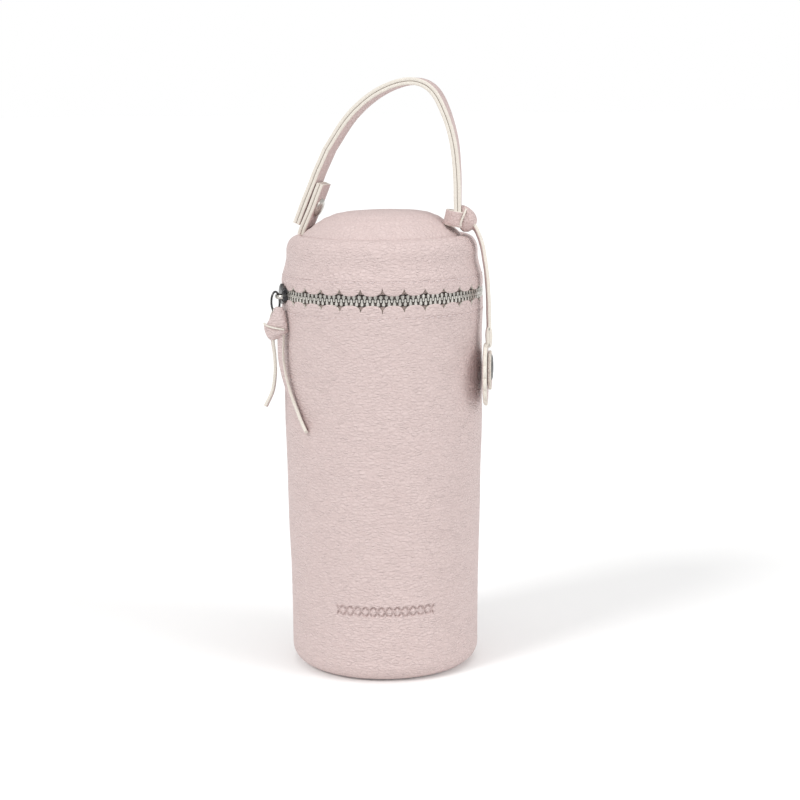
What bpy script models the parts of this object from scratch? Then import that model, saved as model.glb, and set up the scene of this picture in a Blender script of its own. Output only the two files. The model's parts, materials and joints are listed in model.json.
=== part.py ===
"""Insulated baby bottle case: a padded leatherette cylinder with a zipped lid and a strap handle.

Metres, +Z up. The origin is the centre of the base on the surface that the case stands on.
Angles round the case are measured from the front (-Y) towards the right (+X).
"""

import math

import bmesh
import bpy
from mathutils import Matrix, Vector

MM = 0.001
GAP = 0.3 * MM

# Driving dimensions of the case
BODY_RADIUS = 47.6 * MM
BASE_RADIUS = 45.6 * MM
TRIM_RADIUS = 48.4 * MM
LID_RADIUS = 45.9 * MM
SEAM_RADIUS = 38.4 * MM
# heights are measured from a level 174 mm below the zip; the case stands a little lower than that
ZIP_HEIGHT = 174.0 * MM
FLOOR = -8.4 * MM
SEAM_HEIGHT = 200.6 * MM
CROWN_HEIGHT = 212.6 * MM
BASE_ROUNDING = 7.0 * MM

SKIN = 1.2 * MM
FOAM = 2.6 * MM
LINING = 0.8 * MM
BASE_PANEL_RADIUS = 38.0 * MM
BASE_PANEL_THICK = 1.6 * MM

# Zip: half heights from the middle of the chain
TOOTH_TIP = 0.3 * MM
TOOTH_ROOT = 2.7 * MM
LOBE_EDGE = 3.0 * MM
NOTCH_END = 5.5 * MM
TRIM_END = 10.5 * MM
TAPE_END = 9.5 * MM
SKIN_END = 10.8 * MM
CHAIN_HALF_SWEEP = 143.0
SLIDER_ANGLE = -74.0
SLIDER_PLATE = 1.2 * MM
BAIL_HEIGHT = ZIP_HEIGHT - 1.0 * MM
BAIL_REACH = 2.3 * MM
LOBES_ROUND = 30
CAD_TEETH = 48

SEGMENTS = 40

# Handle: the plane of the arch is turned about Z so that its right foot comes forward
HANDLE_TURN = math.radians(17.0)
STRAP_WIDTH = 12.0 * MM
LAYER = 1.65 * MM
TAB_FOOT = Vector((-38.6, 202.7)) * MM
SNAP_PLACE = Vector((-33.4, 214.2)) * MM
PEEL = Vector((-30.9, 230.5)) * MM

PINK = (0.72, 0.61, 0.60)
CREAM = (0.83, 0.79, 0.70)
DARK_FOAM = (0.30, 0.30, 0.32)
SILVER_LINING = (0.66, 0.67, 0.68)
NICKEL = (0.50, 0.49, 0.47)
TAPE_PINK = (0.70, 0.58, 0.56)
BOARD = (0.45, 0.38, 0.30)


def material(name, colour, roughness, metallic=0.0):
    """A Principled material with one colour, made once and shared by name."""
    made = bpy.data.materials.get(name)
    if made is None:
        made = bpy.data.materials.new(name)
        made.use_nodes = True
        made.diffuse_color = (*colour, 1.0)
        shader = made.node_tree.nodes["Principled BSDF"]
        shader.inputs["Base Color"].default_value = (*colour, 1.0)
        shader.inputs["Roughness"].default_value = roughness
        shader.inputs["Metallic"].default_value = metallic
    return made


def leatherette():
    return material("leatherette", PINK, 0.6)


def cream_leather():
    return material("cut_leather", CREAM, 0.8)


def nickel():
    return material("nickel", NICKEL, 0.3, 1.0)


def finish_object(name, mesh_builder, look):
    """Turn a bmesh into a named object with its faces pointing out."""
    bmesh.ops.remove_doubles(mesh_builder, verts=mesh_builder.verts, dist=1e-6)
    bmesh.ops.recalc_face_normals(mesh_builder, faces=mesh_builder.faces)
    mesh = bpy.data.meshes.new(name)
    mesh_builder.to_mesh(mesh)
    mesh_builder.free()
    mesh.materials.append(look)
    mesh.shade_smooth()
    mesh.set_sharp_from_angle(angle=math.radians(35))
    made = bpy.data.objects.new(name, mesh)
    bpy.context.scene.collection.objects.link(made)
    return made


def around(radius, degrees, height):
    """A point at a radius and height, at an angle from the front towards the right."""
    turn = math.radians(degrees)
    return Vector((radius * math.sin(turn), -radius * math.cos(turn), height))


def turned(name, profile, look, segments=SEGMENTS):
    """Revolve a closed profile of (radius, height) points a full turn about Z."""
    build = bmesh.new()
    ring = [build.verts.new(around(radius, 0.0, height)) for radius, height in profile]
    edges = [build.edges.new((ring[i], ring[(i + 1) % len(ring)])) for i in range(len(ring))]
    bmesh.ops.spin(build, geom=ring + edges, cent=(0, 0, 0), axis=(0, 0, 1), dvec=(0, 0, 0),
                   angle=2 * math.pi, steps=segments, use_merge=True)
    bmesh.ops.remove_doubles(build, verts=build.verts, dist=1e-6)
    bmesh.ops.dissolve_degenerate(build, dist=1e-7, edges=build.edges)
    return finish_object(name, build, look)


def lofted(name, sections, look):
    """Join a row of equal sections into one closed solid with a cap at each end."""
    build = bmesh.new()
    rings = [[build.verts.new(point) for point in section] for section in sections]
    for ring, after in zip(rings, rings[1:]):
        for i in range(len(ring)):
            j = (i + 1) % len(ring)
            build.faces.new((ring[i], ring[j], after[j], after[i]))
    build.faces.new(list(reversed(rings[0])))
    build.faces.new(rings[-1])
    return finish_object(name, build, look)


def band(name, angles, inner, outer, low, high, look):
    """A curved band between two radii whose lower and upper edges are functions of the angle."""
    sections = []
    for degrees in angles:
        sections.append([
            around(inner, degrees, low(degrees)), around(outer, degrees, low(degrees)),
            around(outer, degrees, high(degrees)), around(inner, degrees, high(degrees)),
        ])
    return lofted(name, sections, look)


def steps(start, stop, count):
    """count + 1 even steps from start to stop."""
    return [start + (stop - start) * i / count for i in range(count + 1)]


def smooth_path(points, per_span=4):
    """Points on a Catmull-Rom curve through the given points."""
    ends = [points[0] * 2 - points[1]] + list(points) + [points[-1] * 2 - points[-2]]
    path = []
    for i in range(1, len(ends) - 2):
        before, start, stop, after = ends[i - 1:i + 3]
        for k in range(per_span):
            t = k / per_span
            path.append(0.5 * ((2 * start) + (stop - before) * t
                               + (2 * before - 5 * start + 4 * stop - after) * t * t
                               + (3 * start - before - 3 * stop + after) * t ** 3))
    path.append(points[-1].copy())
    return path


def in_handle_plane(along, across, height):
    """World place of a point given along the arch's plane, across it, and by height."""
    return Vector((
        along * math.cos(HANDLE_TURN) + across * math.sin(HANDLE_TURN),
        -along * math.sin(HANDLE_TURN) + across * math.cos(HANDLE_TURN),
        height,
    ))


def strap(name, path, near, far, look, width=STRAP_WIDTH):
    """A flat strap along a path in the arch's plane, between two offsets from the path."""
    sections = []
    for i, point in enumerate(path):
        ahead = path[min(i + 1, len(path) - 1)] - path[max(i - 1, 0)]
        ahead.normalize()
        side = Vector((-ahead.y, ahead.x))
        low, high = point + side * near, point + side * far
        sections.append([
            in_handle_plane(low.x, -width / 2, low.y), in_handle_plane(low.x, width / 2, low.y),
            in_handle_plane(high.x, width / 2, high.y), in_handle_plane(high.x, -width / 2, high.y),
        ])
    return lofted(name, sections, look)


def ribbon(name, path, facing, width, thick, look, fixed_across=None):
    """A flat strip along a path in space, whose broad side faces a direction or whose width keeps one."""
    sections = []
    for i, point in enumerate(path):
        ahead = (path[min(i + 1, len(path) - 1)] - path[max(i - 1, 0)]).normalized()
        across = (fixed_across or ahead.cross(facing).normalized()) * width / 2
        out = across.cross(ahead).normalized() * thick / 2
        sections.append([point - across - out, point + across - out,
                         point + across + out, point - across + out])
    return lofted(name, sections, look)


def turned_about(name, profile, centre, axis, look, segments=16):
    """Revolve a profile of (radius, distance) about an axis through a point; a radius of 0 is a tip."""
    build = bmesh.new()
    line = [build.verts.new((radius, 0.0, along)) for radius, along in profile]
    edges = [build.edges.new(pair) for pair in zip(line, line[1:])]
    if profile[0][0] > 0:
        edges.append(build.edges.new((line[-1], line[0])))
    bmesh.ops.spin(build, geom=line + edges, cent=(0, 0, 0), axis=(0, 0, 1), dvec=(0, 0, 0),
                   angle=2 * math.pi, steps=segments, use_merge=True)
    bmesh.ops.remove_doubles(build, verts=build.verts, dist=1e-6)
    stand = Vector((0, 0, 1)).rotation_difference(axis).to_matrix().to_4x4()
    bmesh.ops.transform(build, matrix=Matrix.Translation(centre) @ stand, verts=build.verts)
    return finish_object(name, build, look)


def block(name, centre, size, degrees, look, bevel=0.0):
    """A box turned to face outwards at an angle round the case: size is (along, out, up)."""
    build = bmesh.new()
    bmesh.ops.create_cube(build, size=1.0)
    bmesh.ops.scale(build, vec=size, verts=build.verts)
    if bevel:
        bmesh.ops.bevel(build, geom=build.edges[:], offset=bevel, segments=1, affect="EDGES")
    turn = Matrix.Rotation(math.radians(degrees), 4, "Z")
    bmesh.ops.transform(build, matrix=Matrix.Translation(centre) @ turn, verts=build.verts)
    return finish_object(name, build, look)


def lump(name, centre, size, look, turn=0.0):
    """A plain rounded solid for a soft knot."""
    build = bmesh.new()
    bmesh.ops.create_icosphere(build, subdivisions=2, radius=0.5)
    bmesh.ops.scale(build, vec=size, verts=build.verts)
    place = Matrix.Translation(centre) @ Matrix.Rotation(turn, 4, "Z")
    bmesh.ops.transform(build, matrix=place, verts=build.verts)
    return finish_object(name, build, look)


def lobe_edge(sign):
    """Height of a scalloped edge: round lobes towards the chain with notches between them."""
    pitch = 360.0 / LOBES_ROUND

    def height(degrees):
        across = abs((degrees / pitch) % 1.0 - 0.5) * 2.0
        rise = math.sqrt(max(0.0, 1.0 - across ** 3))
        return ZIP_HEIGHT + sign * (NOTCH_END - (NOTCH_END - LOBE_EDGE) * rise)

    return height


def level(height):
    """A height that is the same all round."""
    return lambda degrees: height


# ---------------------------------------------------------------- the case


def body_radius(height):
    """Outer radius of the leatherette body at a height, a touch slimmer towards the base."""
    share = min(1.0, (height - FLOOR) / (ZIP_HEIGHT - SKIN_END - FLOOR))
    return BASE_RADIUS + (BODY_RADIUS - BASE_RADIUS) * math.sin(share * math.pi / 2)


def build_case():
    """The body: shell, base, foam, board and lining; gives the lining's outer radius."""
    top = ZIP_HEIGHT - SKIN_END
    bend = [math.radians(a) for a in (0, 30, 60, 90)]
    outer = []
    for angle in bend:
        height = FLOOR + BASE_ROUNDING - (BASE_ROUNDING - 0.4 * MM) * math.cos(angle)
        outer.append((BASE_RADIUS - BASE_ROUNDING + BASE_ROUNDING * math.sin(angle), height))
    outer += [(body_radius(60 * MM), 60 * MM), (body_radius(110 * MM), 110 * MM), (BODY_RADIUS, top)]
    inner = [(BODY_RADIUS - SKIN, top), (body_radius(60 * MM) - SKIN, 60 * MM)]
    inner_bend = BASE_ROUNDING - SKIN
    for angle in reversed(bend):
        height = FLOOR + BASE_ROUNDING - (inner_bend - 0.4 * MM) * math.cos(angle)
        inner.append((BASE_RADIUS - BASE_ROUNDING + inner_bend * math.sin(angle), height))
    turned("body_shell", outer + inner, leatherette())

    panel_top = FLOOR + BASE_PANEL_THICK
    turned("base_panel", [(0.0, FLOOR), (BASE_PANEL_RADIUS, FLOOR), (BASE_PANEL_RADIUS, panel_top),
                          (0.0, panel_top)], leatherette())
    floor = panel_top + GAP
    turned("base_board", [(0.0, floor), (BASE_PANEL_RADIUS, floor), (BASE_PANEL_RADIUS, floor + 1.2 * MM),
                          (0.0, floor + 1.2 * MM)], material("board", BOARD, 0.9))
    pad = floor + 1.2 * MM + GAP
    turned("base_foam", [(0.0, pad), (36.5 * MM, pad), (36.5 * MM, pad + FOAM), (0.0, pad + FOAM)],
           material("foam", DARK_FOAM, 0.9))
    foam_out = BASE_RADIUS - SKIN - GAP
    foam_in = foam_out - FOAM
    foam_foot = FLOOR + 5.3 * MM
    turned("body_foam", [(foam_out - 1.0 * MM, foam_foot), (foam_out - 0.2 * MM, FLOOR + BASE_ROUNDING + 1.5 * MM),
                         (body_radius(60 * MM) - SKIN - GAP, 60 * MM),
                         (BODY_RADIUS - SKIN - GAP, top - 0.5 * MM), (foam_in, top - 0.5 * MM), (foam_in, foam_foot)],
           material("foam", DARK_FOAM, 0.9))
    lining_out = foam_in - GAP
    well = pad + FOAM + GAP
    turned("body_lining", [(0.0, well), (35.5 * MM, well), (lining_out, well + 6.0 * MM),
                           (lining_out, ZIP_HEIGHT - 4.0 * MM), (lining_out - LINING, ZIP_HEIGHT - 4.0 * MM),
                           (lining_out - LINING, well + 6.2 * MM), (35.3 * MM, well + LINING),
                           (0.0, well + LINING)], material("lining", SILVER_LINING, 0.5))
    return lining_out


def build_zip():
    """Both sides of the zip: scalloped trim, tape, teeth and stops."""
    trim_in = TRIM_RADIUS - 1.0 * MM
    tape_out = trim_in - GAP
    tape_in = tape_out - 0.7 * MM
    lobes = int(2 * CHAIN_HALF_SWEEP / (360.0 / LOBES_ROUND)) + 1
    scallops = steps(-CHAIN_HALF_SWEEP, CHAIN_HALF_SWEEP, lobes * 4)
    plain = steps(-CHAIN_HALF_SWEEP, CHAIN_HALF_SWEEP, 32)
    for side, sign in (("lower", -1), ("upper", 1)):
        edge, end = lobe_edge(sign), level(ZIP_HEIGHT + sign * TRIM_END)
        low, high = (end, edge) if sign < 0 else (edge, end)
        band(side + "_scallop_trim", scallops, trim_in, TRIM_RADIUS, low, high, leatherette())

        near, far = level(ZIP_HEIGHT + sign * TOOTH_ROOT), level(ZIP_HEIGHT + sign * TAPE_END)
        low, high = (far, near) if sign < 0 else (near, far)
        band(side + "_zip_tape", plain, tape_in, tape_out, low, high, material("tape", TAPE_PINK, 0.9))
        build_teeth(side + "_zip_teeth", sign, tape_in - 0.3 * MM, TRIM_RADIUS - 0.2 * MM)
        place = around(trim_in, CHAIN_HALF_SWEEP + 2.2, ZIP_HEIGHT + sign * 1.9 * MM)
        block(side + "_zip_stop", place, Vector((2.2, 2.0, 2.6)) * MM, CHAIN_HALF_SWEEP + 2.2, nickel(), 0.4 * MM)


def build_teeth(name, sign, inner, outer):
    """One row of teeth on its cord, as a comb that bends round the case, at double pitch."""
    count = CAD_TEETH
    edges = steps(-CHAIN_HALF_SWEEP + 1.0, CHAIN_HALF_SWEEP - 1.0, count * 2)
    root = TOOTH_ROOT - GAP
    mid = 1.7 * MM
    build = bmesh.new()
    rings = []
    for degrees in edges:
        ring = {}
        for key, away in (("root", root), ("mid", mid), ("tip", TOOTH_TIP)):
            for wall, radius in (("in", inner), ("out", outer)):
                if key != "tip":
                    ring[key + wall] = build.verts.new(around(radius, degrees, ZIP_HEIGHT + sign * away))
        rings.append(ring)
    corners = ("rootin", "rootout", "midout", "midin")
    for index, (ring, after) in enumerate(zip(rings, rings[1:])):
        for here, there in (("rootin", "rootout"), ("rootout", "midout"), ("midin", "rootin")):
            build.faces.new((ring[here], ring[there], after[there], after[here]))
        if index % 2:
            build.faces.new((ring["midout"], ring["midin"], after["midin"], after["midout"]))
            continue
        tips = []
        for degrees in (edges[index], edges[index + 1]):
            for radius in (inner, outer):
                tips.append(build.verts.new(around(radius, degrees, ZIP_HEIGHT + sign * TOOTH_TIP)))
        low_in, low_out, high_in, high_out = tips
        build.faces.new((ring["midin"], ring["midout"], low_out, low_in))
        build.faces.new((after["midin"], after["midout"], high_out, high_in))
        build.faces.new((ring["midin"], low_in, high_in, after["midin"]))
        build.faces.new((ring["midout"], low_out, high_out, after["midout"]))
        build.faces.new((low_in, low_out, high_out, high_in))
    build.faces.new([rings[0][key] for key in corners])
    build.faces.new([rings[-1][key] for key in corners])
    finish_object(name, build, nickel())


def build_hinge():
    """The leatherette hinge across the back, with its lining, between the two ends of the zip."""
    start, stop = CHAIN_HALF_SWEEP + 4.6, 360.0 - CHAIN_HALF_SWEEP - 1.0
    angles = steps(start, stop, 12)
    low, high = level(ZIP_HEIGHT - TRIM_END), level(ZIP_HEIGHT + TRIM_END)
    band("hinge_flap", angles, TRIM_RADIUS - 1.0 * MM, TRIM_RADIUS, low, high, leatherette())
    inside = TRIM_RADIUS - 1.0 * MM - GAP
    band("hinge_lining", angles, inside - 0.7 * MM, inside, low, high, material("tape", TAPE_PINK, 0.9))


# ---------------------------------------------------------------- the lid


def build_lid(lining_out):
    """The lid: band, domed top panel, foam and lining."""
    base = ZIP_HEIGHT + SKIN_END
    shoulder = [(LID_RADIUS, base), (LID_RADIUS, 194.5 * MM), (LID_RADIUS - 1.2 * MM, 198.0 * MM),
                (LID_RADIUS - 3.6 * MM, 200.2 * MM), (SEAM_RADIUS + GAP, SEAM_HEIGHT)]
    under = [(SEAM_RADIUS + GAP, SEAM_HEIGHT - SKIN), (LID_RADIUS - 4.2 * MM, 198.9 * MM),
             (LID_RADIUS - 2.3 * MM, 197.2 * MM), (LID_RADIUS - SKIN, 194.2 * MM), (LID_RADIUS - SKIN, base)]
    turned("lid_band", shoulder + under, leatherette())

    crown = [(0.0, CROWN_HEIGHT), (15.0 * MM, CROWN_HEIGHT - 0.3 * MM), (22.0 * MM, CROWN_HEIGHT - 1.1 * MM),
             (28.0 * MM, CROWN_HEIGHT - 3.8 * MM), (SEAM_RADIUS - 4.5 * MM, SEAM_HEIGHT + 3.2 * MM),
             (SEAM_RADIUS, SEAM_HEIGHT)]
    below = [(radius - (0.4 * MM if radius else 0.0), height - SKIN) for radius, height in reversed(crown)]
    turned("lid_top_panel", crown + below, leatherette())

    foam_out = LID_RADIUS - SKIN - GAP
    foam_in = foam_out - FOAM
    turned("lid_foam_band", [(foam_out, base), (foam_out, 193.6 * MM), (foam_in, 193.6 * MM), (foam_in, base)],
           material("foam", DARK_FOAM, 0.9))
    dome = [(0.0, CROWN_HEIGHT - SKIN - GAP), (21.0 * MM, CROWN_HEIGHT - SKIN - 1.6 * MM),
            (27.0 * MM, CROWN_HEIGHT - SKIN - 4.8 * MM), (35.0 * MM, SEAM_HEIGHT + 0.2 * MM)]
    hollow = [(35.0 * MM, SEAM_HEIGHT - 2.4 * MM), (27.0 * MM, CROWN_HEIGHT - SKIN - 4.8 * MM - FOAM),
              (21.0 * MM, CROWN_HEIGHT - SKIN - 1.6 * MM - FOAM), (0.0, CROWN_HEIGHT - SKIN - GAP - FOAM)]
    turned("lid_foam_disc", dome + hollow, material("foam", DARK_FOAM, 0.9))

    rim = ZIP_HEIGHT + 4.0 * MM
    ceiling = CROWN_HEIGHT - SKIN - FOAM - 2 * GAP
    outer = [(lining_out, rim), (lining_out, 192.0 * MM), (34.0 * MM, SEAM_HEIGHT - 3.4 * MM),
             (26.5 * MM, ceiling - 5.2 * MM), (20.5 * MM, ceiling - 2.0 * MM), (0.0, ceiling - 0.4 * MM)]
    inside = [(0.0, ceiling - LINING - 0.4 * MM), (20.0 * MM, ceiling - LINING - 2.0 * MM),
              (26.0 * MM, ceiling - LINING - 5.2 * MM), (33.5 * MM, SEAM_HEIGHT - 3.4 * MM - LINING),
              (lining_out - LINING, 191.6 * MM), (lining_out - LINING, rim)]
    turned("lid_lining", outer + inside, material("lining", SILVER_LINING, 0.5))


# ---------------------------------------------------------------- the handle


def build_handle():
    """The handle: tab, peeling strap end and arch, each of two layers, and the press stud."""
    pair = LAYER + GAP / 2
    tab = smooth_path([TAB_FOOT, Vector((-36.6, 207.2)) * MM, SNAP_PLACE, Vector((-28.9, 225.0)) * MM], 2)
    strap("tab_outer", tab, GAP / 2, pair, cream_leather())
    strap("tab_inner", tab, -pair, -GAP / 2, cream_leather())

    end = smooth_path([Vector((-41.4, 206.0)) * MM, Vector((-37.4, 215.6)) * MM,
                       Vector((-33.0, 225.6)) * MM, PEEL], 2)
    strap("strap_end_outer", end, GAP / 2, pair, cream_leather())
    strap("strap_end_inner", end, -pair, -GAP / 2, cream_leather())

    arch = [(-30.6, 231.3), (-24.6, 243.2), (-16.2, 256.0), (-5.0, 266.2), (7.2, 272.0), (19.0, 273.3),
            (28.0, 269.0), (34.0, 258.5), (37.2, 245.0), (38.8, 230.0), (38.6, 213.6)]
    route = smooth_path([Vector(point) * MM for point in arch], 3)
    strap("strap_outer", route, GAP / 2, pair, cream_leather())
    strap("strap_inner", route, -pair, -GAP / 2, cream_leather())

    build_snap()


def build_snap():
    """A four-piece press stud: cap and socket on the tab, stud and backing on the strap's end."""
    # the tab's middle line at the stud, and the way out towards the strap
    outward = Vector((-0.935, 0.355)).normalized()
    axis = in_handle_plane(outward.x, 0.0, outward.y)
    inner_face = in_handle_plane(SNAP_PLACE.x, 0.0, SNAP_PLACE.y) - axis * (LAYER + GAP / 2)
    cap = [(0.0, -1.9 * MM), (2.6 * MM, -1.5 * MM), (4.6 * MM, -0.8 * MM), (4.8 * MM, -GAP), (0.0, -GAP)]
    turned_about("snap_cap", cap, inner_face, axis, nickel())
    strap_face = in_handle_plane(SNAP_PLACE.x, 0.0, SNAP_PLACE.y) + axis * (3 * LAYER + 1.6 * MM)
    back = [(0.0, GAP), (3.4 * MM, GAP), (3.2 * MM, 0.9 * MM), (0.0, 1.1 * MM)]
    turned_about("snap_stud_backing", back, strap_face, axis, nickel())


def build_charm():
    """The knot at the handle's foot, and the charm that hangs from it."""
    knot = in_handle_plane(38.6 * MM, 0.0, 207.0 * MM)
    lump("handle_knot", knot + Vector((1.6, -1.0, 1.1)) * MM, Vector((12.0, 11.5, 9.2)) * MM, leatherette())
    strip = [Vector((45.6, -14.6, 202.2)), Vector((47.4, -15.6, 195.0)), Vector((48.7, -16.8, 187.3)),
             Vector((49.7, -17.8, 177.7)), Vector((50.1, -18.4, 168.1)), Vector((50.2, -18.8, 158.5))]
    path = smooth_path([point * MM for point in strip], 2)
    ribbon("charm_strip", path, Vector((1.0, 0.1, 0.1)), 5.0 * MM, 1.5 * MM, cream_leather())
    fold = [Vector((50.2, -18.8, 157.9)), Vector((50.2, -18.8, 153.5)), Vector((50.1, -18.8, 149.4))]
    ribbon("charm_fold", [point * MM for point in fold], Vector((1.0, 0.1, 0.0)), 6.4 * MM, 3.4 * MM,
           cream_leather())
    outward = around(1.0, 82.0, 0.0)
    hub = Vector((47.9, -19.6, 134.5)) * MM
    up = Vector((0.0, 0.0, 1.0))

    def disc(radius, thick):
        return [(0.0, 0.0), (radius, 0.0), (radius, thick), (0.0, thick)]

    turned_about("charm_large_disc", disc(14.4 * MM, 1.8 * MM), hub, outward, leatherette(), 24)
    turned_about("charm_small_disc", disc(9.0 * MM, 1.6 * MM), hub + outward * 2.1 * MM + up * 2.0 * MM, outward,
                 cream_leather(), 18)
    metal = [(0.0, 0.0), (6.2 * MM, 0.0), (6.2 * MM, 0.8 * MM), (4.6 * MM, 1.5 * MM), (0.0, 1.9 * MM)]
    turned_about("charm_rivet", metal, hub + outward * 4.0 * MM + up * 3.4 * MM, outward, nickel(), 18)


# ---------------------------------------------------------------- the slider and its pull


def loop_sections(middle, first, second, half_first, half_second, wire, across, count):
    """Square sections of a closed oval wire in the plane of two directions round a middle."""
    rows = []
    for angle in steps(0.0, 2 * math.pi, count)[:-1]:
        out = first * math.cos(angle) * half_first + second * math.sin(angle) * half_second
        normal = (first * math.cos(angle) / half_first + second * math.sin(angle) / half_second).normalized()
        corners = []
        for depth, side in ((-1, -1), (1, -1), (1, 1), (-1, 1)):
            corners.append(middle + out + normal * depth * wire + across * side * wire)
        rows.append(corners)
    return rows


def closed_loop(name, rows, look):
    """Join sections into a ring without ends."""
    build = bmesh.new()
    rings = [[build.verts.new(point) for point in row] for row in rows]
    for ring, after in zip(rings, rings[1:] + rings[:1]):
        for i in range(len(ring)):
            j = (i + 1) % len(ring)
            build.faces.new((ring[i], ring[j], after[j], after[i]))
    return finish_object(name, build, look)


def build_slider():
    """The slider outside the chain, with its bail."""
    face = TRIM_RADIUS + GAP
    plate = around(face + SLIDER_PLATE / 2, SLIDER_ANGLE, ZIP_HEIGHT - 0.4 * MM)
    block("slider_body", plate, Vector((9.0 * MM, SLIDER_PLATE, 9.0 * MM)), SLIDER_ANGLE, nickel(), 0.35 * MM)
    outward, along = around(1.0, SLIDER_ANGLE, 0.0), around(1.0, SLIDER_ANGLE + 90.0, 0.0)
    foot = around(face + SLIDER_PLATE + GAP, SLIDER_ANGLE, BAIL_HEIGHT)
    sections = []
    for angle in steps(0.0, math.pi, 8):
        toward = along * math.cos(angle) + outward * math.sin(angle)
        spot = foot + along * 3.4 * MM * math.cos(angle) + outward * BAIL_REACH * math.sin(angle)
        side, up = toward * 0.4 * MM, Vector((0, 0, 0.6 * MM))
        sections.append([spot - side - up, spot + side - up, spot + side + up, spot - side + up])
    lofted("slider_bail", sections, nickel())

    # the ring passes through the bail, and its plane stands out from the case
    middle = around(face + 5.2 * MM, SLIDER_ANGLE, ZIP_HEIGHT - 3.8 * MM)
    up = Vector((0, 0, 1))
    closed_loop("puller_ring", loop_sections(middle, outward, up, 3.2 * MM, 5.2 * MM, 0.4 * MM, along, 20),
                nickel())


def build_pull():
    """The leather pull: a strip looped through the ring, its knot and its two tails."""
    hang = TRIM_RADIUS + GAP + 5.2 * MM
    outward, along = around(1.0, SLIDER_ANGLE, 0.0), around(1.0, SLIDER_ANGLE + 90.0, 0.0)
    loop = []
    for side, height in ((-1.8, 161.9), (-1.8, 165.0), (0.0, 167.2), (1.8, 165.0), (1.8, 161.9)):
        loop.append(around(hang, SLIDER_ANGLE, height * MM) + along * side * MM)
    ribbon("pull_loop", smooth_path(loop, 2), along, 2.7 * MM, 0.8 * MM, leatherette(), outward)
    lump("pull_knot", around(hang, SLIDER_ANGLE, 157.2 * MM), Vector((9.0, 9.0, 8.4)) * MM, leatherette())
    short = [Vector((-53.4, -14.2, 152.4)), Vector((-52.2, -14.0, 144.0)), Vector((-51.9, -14.1, 136.4)),
             Vector((-53.0, -14.7, 128.0)), Vector((-56.2, -15.4, 120.6))]
    long = [Vector((-49.9, -17.2, 152.4)), Vector((-48.7, -17.9, 142.5)), Vector((-45.2, -22.4, 130.5)),
            Vector((-40.9, -28.2, 120.0)), Vector((-36.4, -33.6, 111.2))]
    ribbon("pull_tail_short", smooth_path([p * MM for p in short], 3), Vector((-1.0, -0.3, 0.0)),
           3.2 * MM, 1.4 * MM, cream_leather())
    ribbon("pull_tail_long", smooth_path([p * MM for p in long], 3), Vector((-1.0, -0.6, 0.0)),
           3.2 * MM, 1.4 * MM, cream_leather())


def main():
    """Build every piece and stand the case on the floor."""
    for old in list(bpy.data.objects):
        bpy.data.objects.remove(old, do_unlink=True)
    lining_out = build_case()
    build_zip()
    build_hinge()
    build_lid(lining_out)
    build_handle()
    build_charm()
    build_slider()
    build_pull()
    for piece in bpy.data.objects:
        piece.data.transform(Matrix.Translation((0.0, 0.0, -FLOOR)))


if __name__ == "__main__":
    main()
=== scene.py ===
"""Looks of an insulated baby bottle case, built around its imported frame.

Metres, +Z up, the front towards -Y. Angles round the case are measured from the front towards the right.
"""

from __future__ import annotations

import json
import logging
import math
from dataclasses import dataclass, field
from enum import Enum
from typing import Callable, Sequence

import bmesh
import bpy
from mathutils import Matrix, Vector, noise

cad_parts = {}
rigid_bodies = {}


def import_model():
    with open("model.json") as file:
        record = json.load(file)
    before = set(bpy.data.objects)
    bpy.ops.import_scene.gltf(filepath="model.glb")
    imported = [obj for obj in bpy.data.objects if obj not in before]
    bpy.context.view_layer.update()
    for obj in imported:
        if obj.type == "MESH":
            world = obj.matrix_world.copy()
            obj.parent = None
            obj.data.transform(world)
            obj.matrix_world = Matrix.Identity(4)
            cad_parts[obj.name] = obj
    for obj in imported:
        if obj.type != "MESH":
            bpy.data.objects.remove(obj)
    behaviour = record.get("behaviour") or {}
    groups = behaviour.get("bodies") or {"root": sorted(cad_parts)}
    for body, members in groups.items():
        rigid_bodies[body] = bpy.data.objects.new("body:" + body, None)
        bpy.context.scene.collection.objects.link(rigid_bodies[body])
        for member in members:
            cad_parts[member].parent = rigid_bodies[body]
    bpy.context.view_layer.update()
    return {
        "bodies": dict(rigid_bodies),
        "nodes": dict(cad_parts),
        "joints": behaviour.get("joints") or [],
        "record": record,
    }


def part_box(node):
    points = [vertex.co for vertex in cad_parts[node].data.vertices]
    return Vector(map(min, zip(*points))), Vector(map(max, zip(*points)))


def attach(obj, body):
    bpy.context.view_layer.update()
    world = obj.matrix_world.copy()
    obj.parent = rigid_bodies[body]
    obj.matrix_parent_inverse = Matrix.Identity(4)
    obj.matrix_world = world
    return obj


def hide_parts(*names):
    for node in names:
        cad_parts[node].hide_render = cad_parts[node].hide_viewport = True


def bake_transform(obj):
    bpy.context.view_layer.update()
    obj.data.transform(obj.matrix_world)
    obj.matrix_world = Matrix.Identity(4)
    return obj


MM = 0.001
# the heights that classes hold in millimetres are measured from a level this far above the floor
RISE = 8.4 * MM
LOG = logging.getLogger("bottle_case")

FRAME: dict = {}

Socket = bpy.types.NodeSocket
Finish = bpy.types.Material
Piece = bpy.types.Object
Colour = tuple[float, float, float]
Marks = tuple[tuple[float, ...], ...]
Profile = list[tuple[float, float]]


# ---------------------------------------------------------------- finishes


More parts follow.
